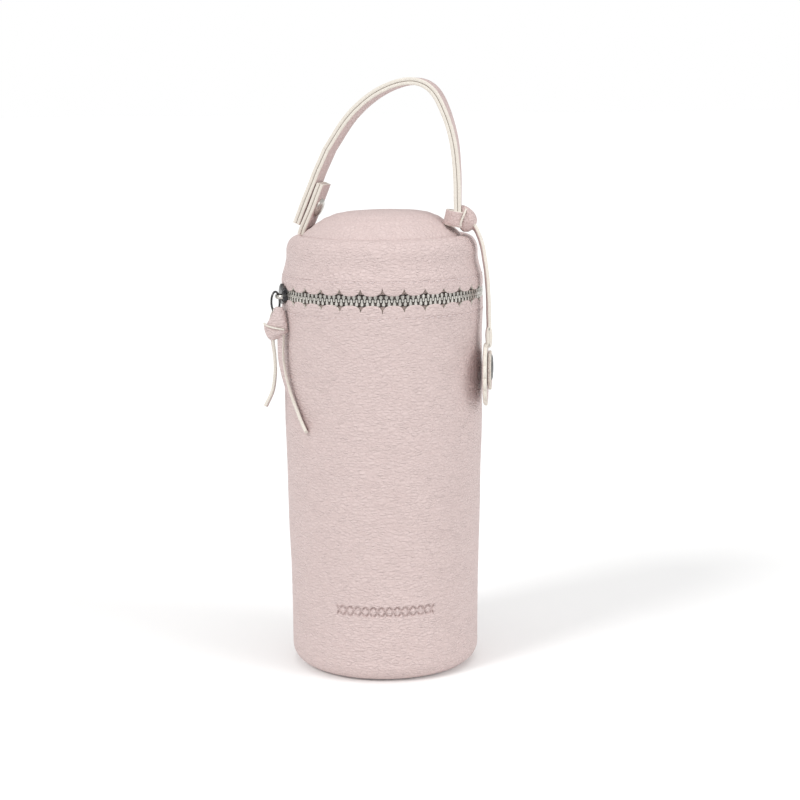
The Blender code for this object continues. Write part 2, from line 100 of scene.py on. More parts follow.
class NodeDesk:
    """A material's node tree, with short ways to add nodes and join them."""

    def __init__(self, name: str) -> None:
        """Start a material with a Principled shader.

        Args:
            name: the material's name.
        """
        self.material = bpy.data.materials.new(name)
        self.material.use_nodes = True
        self.tree = self.material.node_tree
        self.shader = self.tree.nodes["Principled BSDF"]
        self.place = self.tree.nodes.new("ShaderNodeTexCoord").outputs["Object"]

    def join(self, source: Socket, target: Socket) -> None:
        """Link one socket to another."""
        self.tree.links.new(source, target)

    def stretched(self, scale: Sequence[float]) -> Socket:
        """Object coordinates, scaled along each axis.

        Args:
            scale: how much each axis is scaled.

        Returns:
            The scaled coordinates.
        """
        mapping = self.tree.nodes.new("ShaderNodeMapping")
        mapping.inputs["Scale"].default_value = scale
        self.join(self.place, mapping.inputs["Vector"])
        return mapping.outputs["Vector"]

    def cloud(self, vector: Socket, scale: float, detail: float = 3.0) -> bpy.types.Node:
        """A noise texture read at a vector."""
        made = self.tree.nodes.new("ShaderNodeTexNoise")
        made.inputs["Scale"].default_value = scale
        made.inputs["Detail"].default_value = detail
        self.join(vector, made.inputs["Vector"])
        return made

    def cells(self, vector: Socket, scale: float, feature: str = "F1") -> Socket:
        """The distance output of a cell texture read at a vector."""
        made = self.tree.nodes.new("ShaderNodeTexVoronoi")
        made.feature = feature
        made.inputs["Scale"].default_value = scale
        self.join(vector, made.inputs["Vector"])
        return made.outputs["Distance"]

    def shaken(self, vector: Socket, scale: float, amount: float) -> Socket:
        """A vector moved about by noise, so that what is read there looks less even."""
        cloud = self.cloud(vector, scale, 2.0)
        mix = self.tree.nodes.new("ShaderNodeVectorMath")
        mix.operation = "MULTIPLY_ADD"
        mix.inputs[1].default_value = (amount, amount, amount)
        self.join(cloud.outputs["Color"], mix.inputs[0])
        self.join(vector, mix.inputs[2])
        return mix.outputs["Vector"]

    def ramp(self, value: Socket, low: float, high: float, start: float = 0.0,
             stop: float = 1.0) -> Socket:
        """A value mapped from low..high to start..stop and held there.

        Args:
            value: the socket to map.
            low: the value that gives start.
            high: the value that gives stop.
            start: the lowest result.
            stop: the highest result.

        Returns:
            The mapped value.
        """
        made = self.tree.nodes.new("ShaderNodeMapRange")
        for key, number in zip(("From Min", "From Max", "To Min", "To Max"), (low, high, start, stop)):
            made.inputs[key].default_value = number
        self.join(value, made.inputs["Value"])
        return made.outputs["Result"]

    def sum(self, first: Socket, second: Socket, weight: float) -> Socket:
        """first plus weight times second."""
        made = self.tree.nodes.new("ShaderNodeMath")
        made.operation = "MULTIPLY_ADD"
        made.inputs[1].default_value = weight
        self.join(second, made.inputs[0])
        self.join(first, made.inputs[2])
        return made.outputs["Value"]

    def blend(self, share: Socket, low: Colour, high: Colour) -> Socket:
        """A colour between two, by a share from 0 to 1."""
        made = self.tree.nodes.new("ShaderNodeMix")
        made.data_type = "RGBA"
        made.inputs[6].default_value = (*low, 1.0)
        made.inputs[7].default_value = (*high, 1.0)
        self.join(share, made.inputs[0])
        return made.outputs[2]

    def tint(self, share: Socket, colour: Socket, other: Colour) -> Socket:
        """A colour socket moved towards another colour by a share."""
        made = self.tree.nodes.new("ShaderNodeMix")
        made.data_type = "RGBA"
        made.inputs[7].default_value = (*other, 1.0)
        self.join(share, made.inputs[0])
        self.join(colour, made.inputs[6])
        return made.outputs[2]

    def relief(self, height: Socket, depth: float, strength: float = 1.0) -> None:
        """Bump the surface by a height.

        Args:
            height: the height, from 0 to 1.
            depth: the depth of the relief in metres.
            strength: how strongly it is applied.
        """
        made = self.tree.nodes.new("ShaderNodeBump")
        made.inputs["Distance"].default_value = depth
        made.inputs["Strength"].default_value = strength
        self.join(height, made.inputs["Height"])
        self.join(made.outputs["Normal"], self.shader.inputs["Normal"])

    def colour(self, socket: Socket) -> None:
        """Use a colour socket as the base colour."""
        self.join(socket, self.shader.inputs["Base Color"])

    def gloss(self, socket: Socket) -> None:
        """Use a socket as the roughness."""
        self.join(socket, self.shader.inputs["Roughness"])


@dataclass(frozen=True)
class PebbledLeather:
    """Leatherette with a fine pebble grain whose creases run mostly round the case; its creases and low folds
    carry painted shade.
    """

    name: str
    base: Colour
    # crease: the painted shade colour of the creases and low folds, which the random mottle also leans
    # towards
    crease: Colour
    cell: float = 2.7 * MM
    depth: float = 0.35 * MM
    flatten: float = 2.1
    roughness: float = 0.56

    def material(self) -> Finish:
        """Make the leather material."""
        desk = NodeDesk(self.name)
        wide = desk.stretched((1.0, 1.0, self.flatten))
        moved = desk.shaken(wide, 0.45 / self.cell, 0.75 * self.cell)
        pebbles = desk.cells(moved, 1.0 / self.cell, "DISTANCE_TO_EDGE")
        fine = desk.cells(moved, 2.4 / self.cell, "DISTANCE_TO_EDGE")
        folds = desk.cloud(desk.stretched((1.0, 1.0, 3.4)), 0.3 / self.cell, 4.0).outputs["Fac"]
        soft = desk.cells(moved, 1.15 / self.cell, "SMOOTH_F1")
        height = desk.sum(desk.ramp(soft, 0.05, 0.7, 1.0, 0.0), desk.ramp(pebbles, 0.0, 0.3), 0.8)
        height = desk.sum(height, desk.ramp(fine, 0.0, 0.3), 0.15)
        height = desk.sum(height, folds, 0.3)
        # painted shade: the grain's creases and the low folds are coloured darker
        lines = desk.ramp(pebbles, 0.0, 0.16, 0.7, 0.0)
        crease = desk.sum(lines, desk.ramp(folds, 0.35, 0.5, 0.12, 0.0), 1.0)
        tone = desk.blend(crease, self.base, self.crease)
        clouds = desk.cloud(desk.stretched((1.0, 1.0, 2.2)), 70.0, 4.0).outputs["Fac"]
        desk.colour(desk.tint(desk.ramp(clouds, 0.45, 0.75, 0.0, 0.35), tone, self.crease))
        desk.gloss(desk.ramp(folds, 0.3, 0.7, self.roughness - 0.07, self.roughness + 0.08))
        desk.relief(height, self.depth)
        return desk.material


@dataclass(frozen=True)
class CutEdge:
    """The raw cut edge of the leather: pale, fibrous and a little uneven."""

    name: str
    base: Colour
    fibre: Colour

    def material(self) -> Finish:
        """Make the cut edge material."""
        desk = NodeDesk(self.name)
        fibres = desk.cloud(desk.stretched((1.0, 1.0, 1.0)), 2600.0, 4.0).outputs["Fac"]
        streaks = desk.cloud(desk.place, 420.0, 3.0).outputs["Fac"]
        tone = desk.blend(desk.ramp(fibres, 0.35, 0.75), self.base, self.fibre)
        desk.colour(desk.tint(desk.ramp(streaks, 0.5, 0.8, 0.0, 0.5), tone, self.fibre))
        desk.gloss(desk.ramp(fibres, 0.3, 0.7, 0.75, 0.92))
        desk.relief(desk.sum(fibres, streaks, 0.6), 0.12 * MM)
        return desk.material


@dataclass(frozen=True)
class WovenTape:
    """Closely woven tape or cloth: threads over and under along two axes."""

    name: str
    base: Colour
    gap: Colour
    thread: float = 0.45 * MM

    def material(self) -> Finish:
        """Make the woven material."""
        desk = NodeDesk(self.name)
        heights = []
        for axis in ("X", "Z"):
            wave = desk.tree.nodes.new("ShaderNodeTexWave")
            wave.bands_direction = axis
            wave.inputs["Scale"].default_value = 0.31 / self.thread
            wave.inputs["Distortion"].default_value = 0.6
            desk.join(desk.place, wave.inputs["Vector"])
            heights.append(wave.outputs["Fac"])
        height = desk.sum(heights[0], heights[1], 1.0)
        fuzz = desk.cloud(desk.place, 1800.0, 3.0).outputs["Fac"]
        tone = desk.blend(desk.ramp(height, 0.3, 1.4), self.gap, self.base)
        desk.colour(desk.tint(desk.ramp(fuzz, 0.45, 0.8, 0.0, 0.4), tone, self.gap))
        desk.gloss(desk.ramp(fuzz, 0.3, 0.7, 0.82, 0.95))
        desk.relief(desk.sum(height, fuzz, 0.5), 0.1 * MM)
        return desk.material


@dataclass(frozen=True)
class PlatedMetal:
    """Polished plating with faint wear, dull spots and fine scratches."""

    name: str
    base: Colour
    worn: Colour
    roughness: float = 0.2

    def material(self) -> Finish:
        """Make the plated material."""
        desk = NodeDesk(self.name)
        desk.shader.inputs["Metallic"].default_value = 1.0
        haze = desk.cloud(desk.place, 600.0, 5.0).outputs["Fac"]
        scratches = desk.cloud(desk.stretched((1.0, 1.0, 7.0)), 1500.0, 2.0).outputs["Fac"]
        desk.colour(desk.blend(desk.ramp(haze, 0.4, 0.75), self.base, self.worn))
        desk.gloss(desk.ramp(desk.sum(haze, scratches, 0.5), 0.5, 1.1, self.roughness, self.roughness + 0.2))
        desk.relief(desk.sum(haze, scratches, 0.7), 0.03 * MM, 0.6)
        return desk.material


@dataclass(frozen=True)
class SoftMatter:
    """Foam, board or thread: a matt surface with fine pores or fibres."""

    name: str
    base: Colour
    pore: Colour
    grain: float
    roughness: float = 0.85

    def material(self) -> Finish:
        """Make the matt material."""
        desk = NodeDesk(self.name)
        pores = desk.cells(desk.shaken(desk.place, 0.5 / self.grain, self.grain), 1.0 / self.grain)
        broad = desk.cloud(desk.place, 90.0, 3.0).outputs["Fac"]
        tone = desk.blend(desk.ramp(pores, 0.3, 0.9), self.base, self.pore)
        desk.colour(desk.tint(desk.ramp(broad, 0.45, 0.75, 0.0, 0.5), tone, self.pore))
        desk.gloss(desk.ramp(pores, 0.2, 0.8, self.roughness - 0.06, self.roughness + 0.06))
        desk.relief(desk.ramp(pores, 0.0, 0.8, 1.0, 0.0), 0.3 * self.grain)
        return desk.material


@dataclass(frozen=True)
class InsulatingFilm:
    """Silvery film laminated on cloth, with a net of fine creases pressed into it, along which shade is
    painted darker.
    """

    name: str
    base: Colour
    # line: the painted shade colour of the pressed creases
    line: Colour
    pitch: float = 6.0 * MM

    def material(self) -> Finish:
        """Make the film material."""
        desk = NodeDesk(self.name)
        desk.shader.inputs["Metallic"].default_value = 0.55
        net = desk.cells(desk.stretched((1.0, 1.0, 0.8)), 1.0 / self.pitch, "DISTANCE_TO_EDGE")
        crinkle = desk.cloud(desk.place, 260.0, 5.0).outputs["Fac"]
        # painted shade: the creases' lines are coloured darker
        desk.colour(desk.blend(desk.ramp(net, 0.0, 0.08), self.line, self.base))
        desk.gloss(desk.ramp(crinkle, 0.3, 0.7, 0.28, 0.48))
        desk.relief(desk.sum(desk.ramp(net, 0.0, 0.25), crinkle, 1.1), 0.5 * MM)
        return desk.material


@dataclass
class Wardrobe:
    """Every finish of the case, each made once."""

    pink: Colour = (0.655, 0.53, 0.512)
    # the painted shade colour of the grain's creases and folds, also the colour of the random mottle
    pink_crease_shade_and_mottle: Colour = (0.585, 0.462, 0.444)
    skin: Finish = field(init=False)
    crown: Finish = field(init=False)
    strap: Finish = field(init=False)
    edge: Finish = field(init=False)
    tape: Finish = field(init=False)
    cord: Finish = field(init=False)
    nickel: Finish = field(init=False)
    dark_metal: Finish = field(init=False)
    slider_metal_painted_dark: Finish = field(init=False)
    thread: Finish = field(init=False)
    foam: Finish = field(init=False)
    board: Finish = field(init=False)
    film: Finish = field(init=False)
    glue_and_gap_shade: Finish = field(init=False)

    def __post_init__(self) -> None:
        """Make the materials."""
        self.make_leathers()
        self.make_metals()
        self.make_soft_parts()

    def make_leathers(self) -> None:
        """The skins, the strap's leather and the leather's cut edge."""
        skin = PebbledLeather("pink_pebbled_leatherette", self.pink, self.pink_crease_shade_and_mottle)
        crown = PebbledLeather("crown_pebbled_leatherette", self.pink, self.pink_crease_shade_and_mottle,
                               cell=1.9 * MM, depth=0.24 * MM, flatten=1.0)
        # the strap's second colour is the painted shade of its creases and the colour of its mottle
        strap = PebbledLeather("strap_leatherette", (0.645, 0.51, 0.49), (0.54, 0.41, 0.39),
                               cell=1.5 * MM, depth=0.26 * MM, flatten=1.0)
        self.skin, self.crown, self.strap = skin.material(), crown.material(), strap.material()
        self.edge = CutEdge("cream_cut_edge", (0.79, 0.745, 0.675), (0.65, 0.60, 0.53)).material()

    def make_metals(self) -> None:
        """The teeth's and the stud's nickel, the slider's nickel painted near black as dark reflection, and
        the rivet's dark plating.
        """
        nickel = PlatedMetal("polished_nickel", (0.66, 0.635, 0.59), (0.42, 0.40, 0.37), 0.2)
        # the slider and its ring are nickel; the near-black base is painted dark reflection, and the lighter
        # tone is haze
        slider = PlatedMetal("slider_nickel_painted_dark", (0.045, 0.045, 0.047), (0.2, 0.195, 0.19), 0.14)
        rivet = PlatedMetal("dark_nickel", (0.11, 0.11, 0.115), (0.06, 0.06, 0.06), 0.3)
        self.nickel, self.slider_metal_painted_dark = nickel.material(), slider.material()
        self.dark_metal = rivet.material()

    def make_soft_parts(self) -> None:
        """Tape, the cord painted near black as the shade between the teeth, thread, foam, board, film, and
        the dark bond that holds a bonding line and the painted shade of the gap between the strap's layers.
        """
        tape = WovenTape("zip_tape_weave", (0.56, 0.45, 0.42), (0.40, 0.31, 0.29))
        # painted shade: the cord is near black to stand for the shade between the teeth
        cord = WovenTape("zip_cord_painted_shade", (0.16, 0.135, 0.125), (0.08, 0.066, 0.06), 0.3 * MM)
        thread = SoftMatter("sewing_thread", (0.72, 0.61, 0.60), (0.54, 0.43, 0.42), 0.25 * MM, 0.7)
        foam = SoftMatter("closed_cell_foam", (0.72, 0.72, 0.71), (0.55, 0.55, 0.54), 0.7 * MM)
        board = SoftMatter("stiffener_board", (0.10, 0.10, 0.10), (0.06, 0.06, 0.06), 0.9 * MM)
        film = InsulatingFilm("insulating_film", (0.66, 0.66, 0.67), (0.42, 0.42, 0.43))
        # the dark bond between the strap's layers: a real bonding line and painted shade of the gap between
        # them
        glue_and_gap_shade = SoftMatter("bonded_seam_and_gap_shade", (0.24, 0.19, 0.16), (0.15, 0.12, 0.10), 0.5 * MM)
        self.tape, self.cord, self.thread = tape.material(), cord.material(), thread.material()
        self.foam, self.board, self.film = foam.material(), board.material(), film.material()
        self.glue_and_gap_shade = glue_and_gap_shade.material()


class Slot(Enum):
    """The record's material slots."""

    LEATHERETTE = "leatherette"
    STRAP = "strap_leather"
    TAPE = "zip_tape"
    NICKEL = "nickel"
    DARK_NICKEL = "dark_nickel"
    FOAM = "foam"
    BOARD = "board"
    LINING = "lining"


# ---------------------------------------------------------------- mesh tools


def polar(radius: float, degrees: float, height: float) -> Vector:
    """The point at a radius and height, at an angle from the front towards the right."""
    turn = math.radians(degrees)
    return Vector((radius * math.sin(turn), -radius * math.cos(turn), height))


def outward(degrees: float) -> Vector:
    """The level direction away from the axis at an angle from the front towards the right."""
    return polar(1.0, degrees, 0.0)


def middle_of(node: str) -> Vector:
    """The middle of a CAD node's box."""
    low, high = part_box(node)
    return (low + high) / 2


def steps(start: float, stop: float, count: int) -> list[float]:
    """count + 1 even steps from start to stop."""
    return [start + (stop - start) * i / count for i in range(count + 1)]


def round_turns(count: int) -> list[float]:
    """The angles, in radians, of count points spread evenly round a circle."""
    return steps(0.0, 2 * math.pi, count)[:-1]


def raised(point: Sequence[float]) -> Vector:
    """A point held in millimetres above the drawn level, as a point of the frame."""
    return Vector(point) * MM + Vector((0, 0, RISE))


def eased(value: float, low: float, high: float) -> float:
    """0 before low, 1 after high, and a smooth rise between them."""
    share = min(1.0, max(0.0, (value - low) / (high - low)))
    return share * share * (3.0 - 2.0 * share)


def smooth_path(points: Sequence[Vector], per_span: int) -> list[Vector]:
    """Points on a Catmull-Rom curve through the given ones.

    Args:
        points: the points that the curve passes.
        per_span: how many steps there are between two of them.

    Returns:
        The curve's points, both ends included.
    """
    ends = [points[0] * 2 - points[1], *points, points[-1] * 2 - points[-2]]
    path: list[Vector] = []
    for i in range(1, len(ends) - 2):
        before, start, stop, after = ends[i - 1:i + 3]
        for k in range(per_span):
            t = k / per_span
            path.append(0.5 * (2 * start + (stop - before) * t
                               + (2 * before - 5 * start + 4 * stop - after) * t * t
                               + (3 * start - before - 3 * stop + after) * t ** 3))
    path.append(points[-1].copy())
    return path


def new_piece(name: str, points: Sequence[Vector], faces: Sequence[Sequence[int]],
              finishes: Sequence[Finish], slots: Sequence[int] | None = None,
              crease: float = 40.0) -> Piece:
    """Make an object from points and faces.

    Args:
        name: the piece's name.
        points: its vertices in the frame.
        faces: vertex numbers of each face.
        finishes: its materials.
        slots: each face's place in finishes, all 0 if left out.
        crease: the angle in degrees above which an edge stays sharp.

    Returns:
        The new object.
    """
    mesh = bpy.data.meshes.new(name)
    mesh.from_pydata([tuple(point) for point in points], [], [tuple(face) for face in faces])
    for finish in finishes:
        mesh.materials.append(finish)
    if slots is not None:
        mesh.polygons.foreach_set("material_index", list(slots))
    build = bmesh.new()
    build.from_mesh(mesh)
    bmesh.ops.recalc_face_normals(build, faces=build.faces)
    build.to_mesh(mesh)
    build.free()
    mesh.shade_smooth()
    mesh.set_sharp_from_angle(angle=math.radians(crease))
    piece = bpy.data.objects.new(name, mesh)
    bpy.context.scene.collection.objects.link(piece)
    return piece


def loft(name: str, sections: Sequence[Sequence[Vector]], finishes: Sequence[Finish],
         sides: Sequence[int] | None = None, ring: bool = False, cap: int = 0,
         crease: float = 40.0) -> Piece:
    """Join a row of sections with as many points each into a closed piece.

    Args:
        name: the piece's name.
        sections: the sections' points, in order.
        finishes: the piece's materials.
        sides: the place in finishes of each side of a section.
        ring: True if the last section joins the first, so that no end is capped.
        cap: the place in finishes of the end caps.
        crease: the angle above which an edge stays sharp.

    Returns:
        The new object.
    """
    count = len(sections[0])
    points = [point for section in sections for point in section]
    faces: list[list[int]] = []
    slots: list[int] = []
    rows = len(sections) if ring else len(sections) - 1
    for row in range(rows):
        here, there = row * count, ((row + 1) % len(sections)) * count
        for i in range(count):
            j = (i + 1) % count
            faces.append([here + i, here + j, there + j, there + i])
            slots.append(sides[i] if sides else 0)
    if not ring:
        faces += [list(range(count))[::-1], list(range(len(points) - count, len(points)))]
        slots += [cap, cap]
    return new_piece(name, points, faces, finishes, slots, crease)


def lathe(name: str, profile: Profile, finishes: Sequence[Finish], columns: int = 128,
          sides: Sequence[int] | None = None, shape: Callable[[float, float, float], float] | None = None,
          crease: float = 40.0) -> Piece:
    """Revolve a closed profile of (radius, height) about Z; points on the axis are joined.

    Args:
        name: the piece's name.
        profile: the closed profile.
        finishes: the piece's materials.
        columns: how many steps there are round the axis.
        sides: the place in finishes of each side of the profile.
        shape: gives what is added to the radius at (degrees, radius, height).
        crease: the angle above which an edge stays sharp.

    Returns:
        The new object.
    """
    sections = []
    for degrees in steps(0.0, 360.0, columns)[:-1]:
        section = []
        for radius, height in profile:
            swell = shape(degrees, radius, height) if shape and radius > 0 else 0.0
            section.append(polar(radius + swell, degrees, height))
        sections.append(section)
    piece = loft(name, sections, finishes, sides, ring=True, crease=crease)
    build = bmesh.new()
    build.from_mesh(piece.data)
    bmesh.ops.remove_doubles(build, verts=build.verts, dist=1e-6)
    bmesh.ops.dissolve_degenerate(build, edges=build.edges, dist=1e-7)
    bmesh.ops.recalc_face_normals(build, faces=build.faces)
    build.to_mesh(piece.data)
    build.free()
    return piece


def joined(piece: Piece) -> Piece:
    """Join a piece's points that lie in one place, such as those on its axis."""
    build = bmesh.new()
    build.from_mesh(piece.data)
    bmesh.ops.remove_doubles(build, verts=build.verts, dist=1e-6)
    bmesh.ops.recalc_face_normals(build, faces=build.faces)
    build.to_mesh(piece.data)
    build.free()
    return piece


def dress(piece: Piece, body: str, slot: Slot, *nodes: str) -> None:
    """Attach a piece to the body that it rides on, and hide the CAD nodes that it stands for.

    Args:
        piece: the piece.
        body: the body that it rides on.
        slot: not used.
        nodes: the nodes that it stands for, none if it has no node of its own.
    """
    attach(piece, body)
    if nodes:
        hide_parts(*nodes)


def moved(piece: Piece, matrix: Matrix) -> Piece:
    """Move a piece's vertices, so that its object stays at the origin."""
    piece.data.transform(matrix)
    return piece


def standing(centre: Vector, axis: Vector) -> Matrix:
    """The matrix that takes +Z to an axis and the origin to a centre."""
    lean = Vector((0, 0, 1)).rotation_difference(axis).to_matrix().to_4x4()
    return Matrix.Translation(centre) @ lean


def wire(name: str, path: Sequence[Vector], radius: float, finish: Finish, ring: bool = False,
         sides: int = 12, across: Vector | None = None, flat: float = 1.0) -> Piece:
    """A round or flattened wire along a path.

    Args:
        name: the piece's name.
        path: the wire's middle line.
        radius: its radius.
        finish: its material.
        ring: True if its two ends join.
        sides: how many sides a section has.
        across: a direction out of the path's plane, for planar paths.
        flat: the radius along across, as a share of radius.

    Returns:
        The new object.
    """
    sections = []
    guide = across or Vector((0.0, 0.0, 1.0))
    for i, point in enumerate(path):
        if ring:
            ahead = path[(i + 1) % len(path)] - path[i - 1]
        else:
            ahead = path[min(i + 1, len(path) - 1)] - path[max(i - 1, 0)]
        ahead.normalize()
        side = ahead.cross(guide).normalized()
        up = side.cross(ahead).normalized()
        sections.append([point + (side * math.cos(a) + up * math.sin(a) * flat) * radius
                         for a in round_turns(sides)])
    return loft(name, sections, [finish], ring=ring, crease=60.0)


@dataclass
class Strip:
    """A flat leather strip whose faces are pebbled and whose edges are cut."""

    width: float
    thick: float
    edge: float = 0.28 * MM

    def outline(self) -> tuple[Profile, list[int]]:
        """The section as (across, out) points, with the finish of each side: 0 face, 1 edge."""
        half, rise, cut = self.width / 2, self.thick / 2, self.edge
        lines = [-half + cut, -half / 2, 0.0, half / 2, half - cut]
        top = [(x, rise) for x in lines]
        bottom = [(x, -rise) for x in reversed(lines)]
        points = [(-half, -rise + cut), (-half, rise - cut), *top,
                  (half, rise - cut), (half, -rise + cut), *bottom]
        sides = [1, 1, 0, 0, 0, 0, 1, 1, 1, 0, 0, 0, 0, 1]
        return points, sides

    def along(self, name: str, path: Sequence[Vector], across: Callable[[int], Vector],
              finishes: Sequence[Finish], shift: float = 0.0, wobble: float = 0.0,
              taper: Callable[[float], float] | None = None) -> Piece:
        """Lay the strip along a path.

        Args:
            name: the piece's name.
            path: the middle line.
            across: gives the width direction at each point of the path.
            finishes: the face's and the edge's materials.
            shift: how far the strip lies off the path, along its normal.
            wobble: the height of slight waves on its faces.
            taper: gives the share of the width at a share of the length.

        Returns:
            The new object.
        """
        outline, sides = self.outline()
        sections = []
        for i, point in enumerate(path):
            ahead = (path[min(i + 1, len(path) - 1)] - path[max(i - 1, 0)]).normalized()
            side = across(i)
            side = (side - ahead * side.dot(ahead)).normalized()
            out = side.cross(ahead).normalized()
            wide = taper(i / (len(path) - 1)) if taper else 1.0
            section = []
            for x, y in outline:
                spot = point + side * x * wide + out * (y + shift)
                if wobble:
                    spot += out * noise.noise(spot * 160.0) * wobble
                section.append(spot)
            sections.append(section)
        return loft(name, sections, finishes, sides, cap=1, crease=50.0)


# ---------------------------------------------------------------- the case


@dataclass
class ZipLine:
    """Where the zip runs and how its scalloped leather edges are cut."""

    height: float
    radius: float
    half_sweep: float = 143.0
    slider_angle: float = -74.0
    lobe_edge: float = 2.15 * MM
    notch_end: float = 6.1 * MM
    stitch_line: float = 8.3 * MM
    stitch_pitch: float = 3.2 * MM
    lobes: int = 30

    def edge(self, degrees: float) -> float:
        """How far from the chain's middle the scalloped edge is at an angle."""
        pitch = 360.0 / self.lobes
        share = abs((degrees / pitch) % 1.0 - 0.5) * 2.0
        # a flat round lobe, and a narrow notch between two lobes
        lobe = (1.0 - share ** 3.0) ** 0.5
        return self.notch_end - (self.notch_end - self.lobe_edge) * lobe

    def inside(self, degrees: float) -> bool:
        """True where the zip runs, and False behind, where the hinge is."""
        turn = (degrees + 180.0) % 360.0 - 180.0
        return abs(turn) < self.half_sweep + 1.0

    def columns(self) -> list[float]:
        """Angles of the skins' columns: close together in front, wider apart behind."""
        front = steps(-34.0, 34.0, 152)
        right = steps(34.0, 180.0, 180)[1:]
        left = steps(-180.0, -34.0, 180)[1:-1]
        return left + front + right


def grain_swell(point: Vector) -> float:
    """Slight hollows, folds and creases of padded leather at a point of its surface."""
    broad = noise.noise(point * 34.0) * 0.30
    folds = noise.noise(Vector((point.x * 150.0, point.y * 150.0, point.z * 420.0))) * 0.055
    creases = noise.noise(Vector((point.x * 420.0, point.y * 420.0, point.z * 1050.0))) * 0.035
    return (broad + folds + creases) * MM


def sewn_swell(zip_line: ZipLine, degrees: float, away: float) -> float:
    """The groove that a row of stitches pulls into the leather.

    Args:
        zip_line: the zip's sizes.
        degrees: the angle round the case.
        away: the distance from the chain's middle.

    Returns:
        What is added to the radius.
    """
    turn = zip_line.stitch_pitch / zip_line.radius
    phase = abs((math.radians(degrees) / turn) % 1.0 - 0.5) * 2.0
    hole = eased(phase, 0.72, 1.0)
    across = math.exp(-((away - zip_line.stitch_line) / (0.55 * MM)) ** 2)
    return -(0.22 + 0.30 * hole) * MM * across


@dataclass
class Motif:
    """A debossed twisted cord, pressed into the leather low on the front."""

    height: float = 35.2 * MM
    half_length: float = 24.5 * MM
    swing: float = 2.1 * MM
    wave: float = 7.6 * MM
    line: float = 0.5 * MM
    depth: float = 1.05 * MM

    def swell(self, along: float, height: float) -> float:
        """What the press takes off the radius at a place along the front."""
        if abs(along) > self.half_length + 1.0 * MM or abs(height - self.height) > 3.6 * MM:
            return 0.0
        phase = 2 * math.pi * along / self.wave
        slope = self.swing * 2 * math.pi / self.wave * math.cos(phase)
        lean = math.sqrt(1.0 + slope * slope)
        near = min(abs(height - self.height - sign * self.swing * math.sin(phase)) for sign in (-1, 1)) / lean
        ends = 1.0 - eased(abs(along), self.half_length - 0.8 * MM, self.half_length)
        return -self.depth * ends * (1.0 - eased(near, self.line * 0.45, self.line * 1.35))


@dataclass
class Skin:
    """A sleeve of leather round the case, with a hem at one end and a scalloped edge at the zip."""

    zip_line: ZipLine
    thick: float = 1.1 * MM

    def sleeve(self, name: str, rows: Profile, side: int, finishes: list[Finish],
               motif: Motif | None = None) -> Piece:
        """Build the sleeve.

        Args:
            name: the piece's name.
            rows: (radius, height) of its outer surface from the hem to 6 mm from the chain's middle.
            side: -1 below the zip, 1 above it.
            finishes: outer leather, cut edge.
            motif: what is pressed into its front.

        Returns:
            The new object.
        """
        line = self.zip_line
        last_radius, last_height = rows[-1]
        edge_rows = steps(0.0, 1.0, 9)[1:]
        inner_rows = list(range(len(rows) - 1, 0, -6)) + [0]
        sections = []
        for degrees in line.columns():
            reach = line.edge(degrees) if line.inside(degrees) else 7.0 * MM
            edge_height = line.height + side * reach
            full = list(rows) + [(last_radius, last_height + (edge_height - last_height) * share)
                                 for share in edge_rows]
            section = []
            for index, (radius, height) in enumerate(full):
                point = polar(radius, degrees, height)
                calm = eased(abs(height - line.height), 5.0 * MM, 14.0 * MM)
                swell = grain_swell(point) * (0.35 + 0.65 * calm) * eased(radius, 37.0 * MM, 42.0 * MM)
                swell += sewn_swell(line, degrees, abs(height - line.height))
                if motif:
                    swell += motif.swell(radius * math.radians(degrees), height)
                if index >= len(full) - 2:
                    swell -= (0.08 if index == len(full) - 2 else 0.26) * MM
                section.append(polar(radius + swell, degrees, height))
            section.append(polar(last_radius - self.thick, degrees, edge_height))
            for index in inner_rows:
                radius, height = rows[index]
                section.append(polar(radius - self.thick, degrees, height))
            sections.append(section)
        count = len(sections[0])
        sides = [0] * count
        sides[len(rows) + len(edge_rows) - 1] = 1
        return loft(name, sections, finishes, sides, ring=True, crease=55.0)


@dataclass
class Stitching:
    """Rows of stitches: short threads that dip into the leather at both ends."""

    thread: Finish
    radius: float = 0.33 * MM
    share: float = 0.74

    def run(self, name: str, spot: Callable[[float], Vector], out: Callable[[float], Vector], length: float,
            pitch: float) -> Piece:
        """Sew a row.

        Args:
            name: the piece's name.
            spot: gives the place at a distance along the seam.
            out: gives the surface's normal there.
            length: the seam's length.
            pitch: the length of one stitch.

        Returns:
            One object that holds the row's threads.
        """
        points: list[Vector] = []
        faces: list[list[int]] = []
        sides, spans = 6, 6
        for number in range(int(length / pitch)):
            middle = (number + 0.5) * pitch
            start = len(points)
            for k in range(spans + 1):
                along = middle + (k / spans - 0.5) * pitch * self.share
                dip = abs(k / spans - 0.5) * 2.0
                thick = self.radius * (1.0 - 0.55 * dip ** 4)
                normal = out(along)
                centre = spot(along) - normal * (0.30 * MM * dip ** 3)
                ahead = (spot(along + 0.1 * MM) - spot(along - 0.1 * MM)).normalized()
                across = ahead.cross(normal).normalized()
                for a in round_turns(sides):
                    points.append(centre + (across * math.cos(a) + normal * math.sin(a) * 0.8) * thick)
            for k in range(spans):
                for i in range(sides):
                    j = (i + 1) % sides
                    low = start + k * sides
                    faces.append([low + i, low + j, low + sides + j, low + sides + i])
            faces.append([start + i for i in range(sides)][::-1])
            faces.append([start + spans * sides + i for i in range(sides)])
        return new_piece(name, points, faces, [self.thread], crease=70.0)


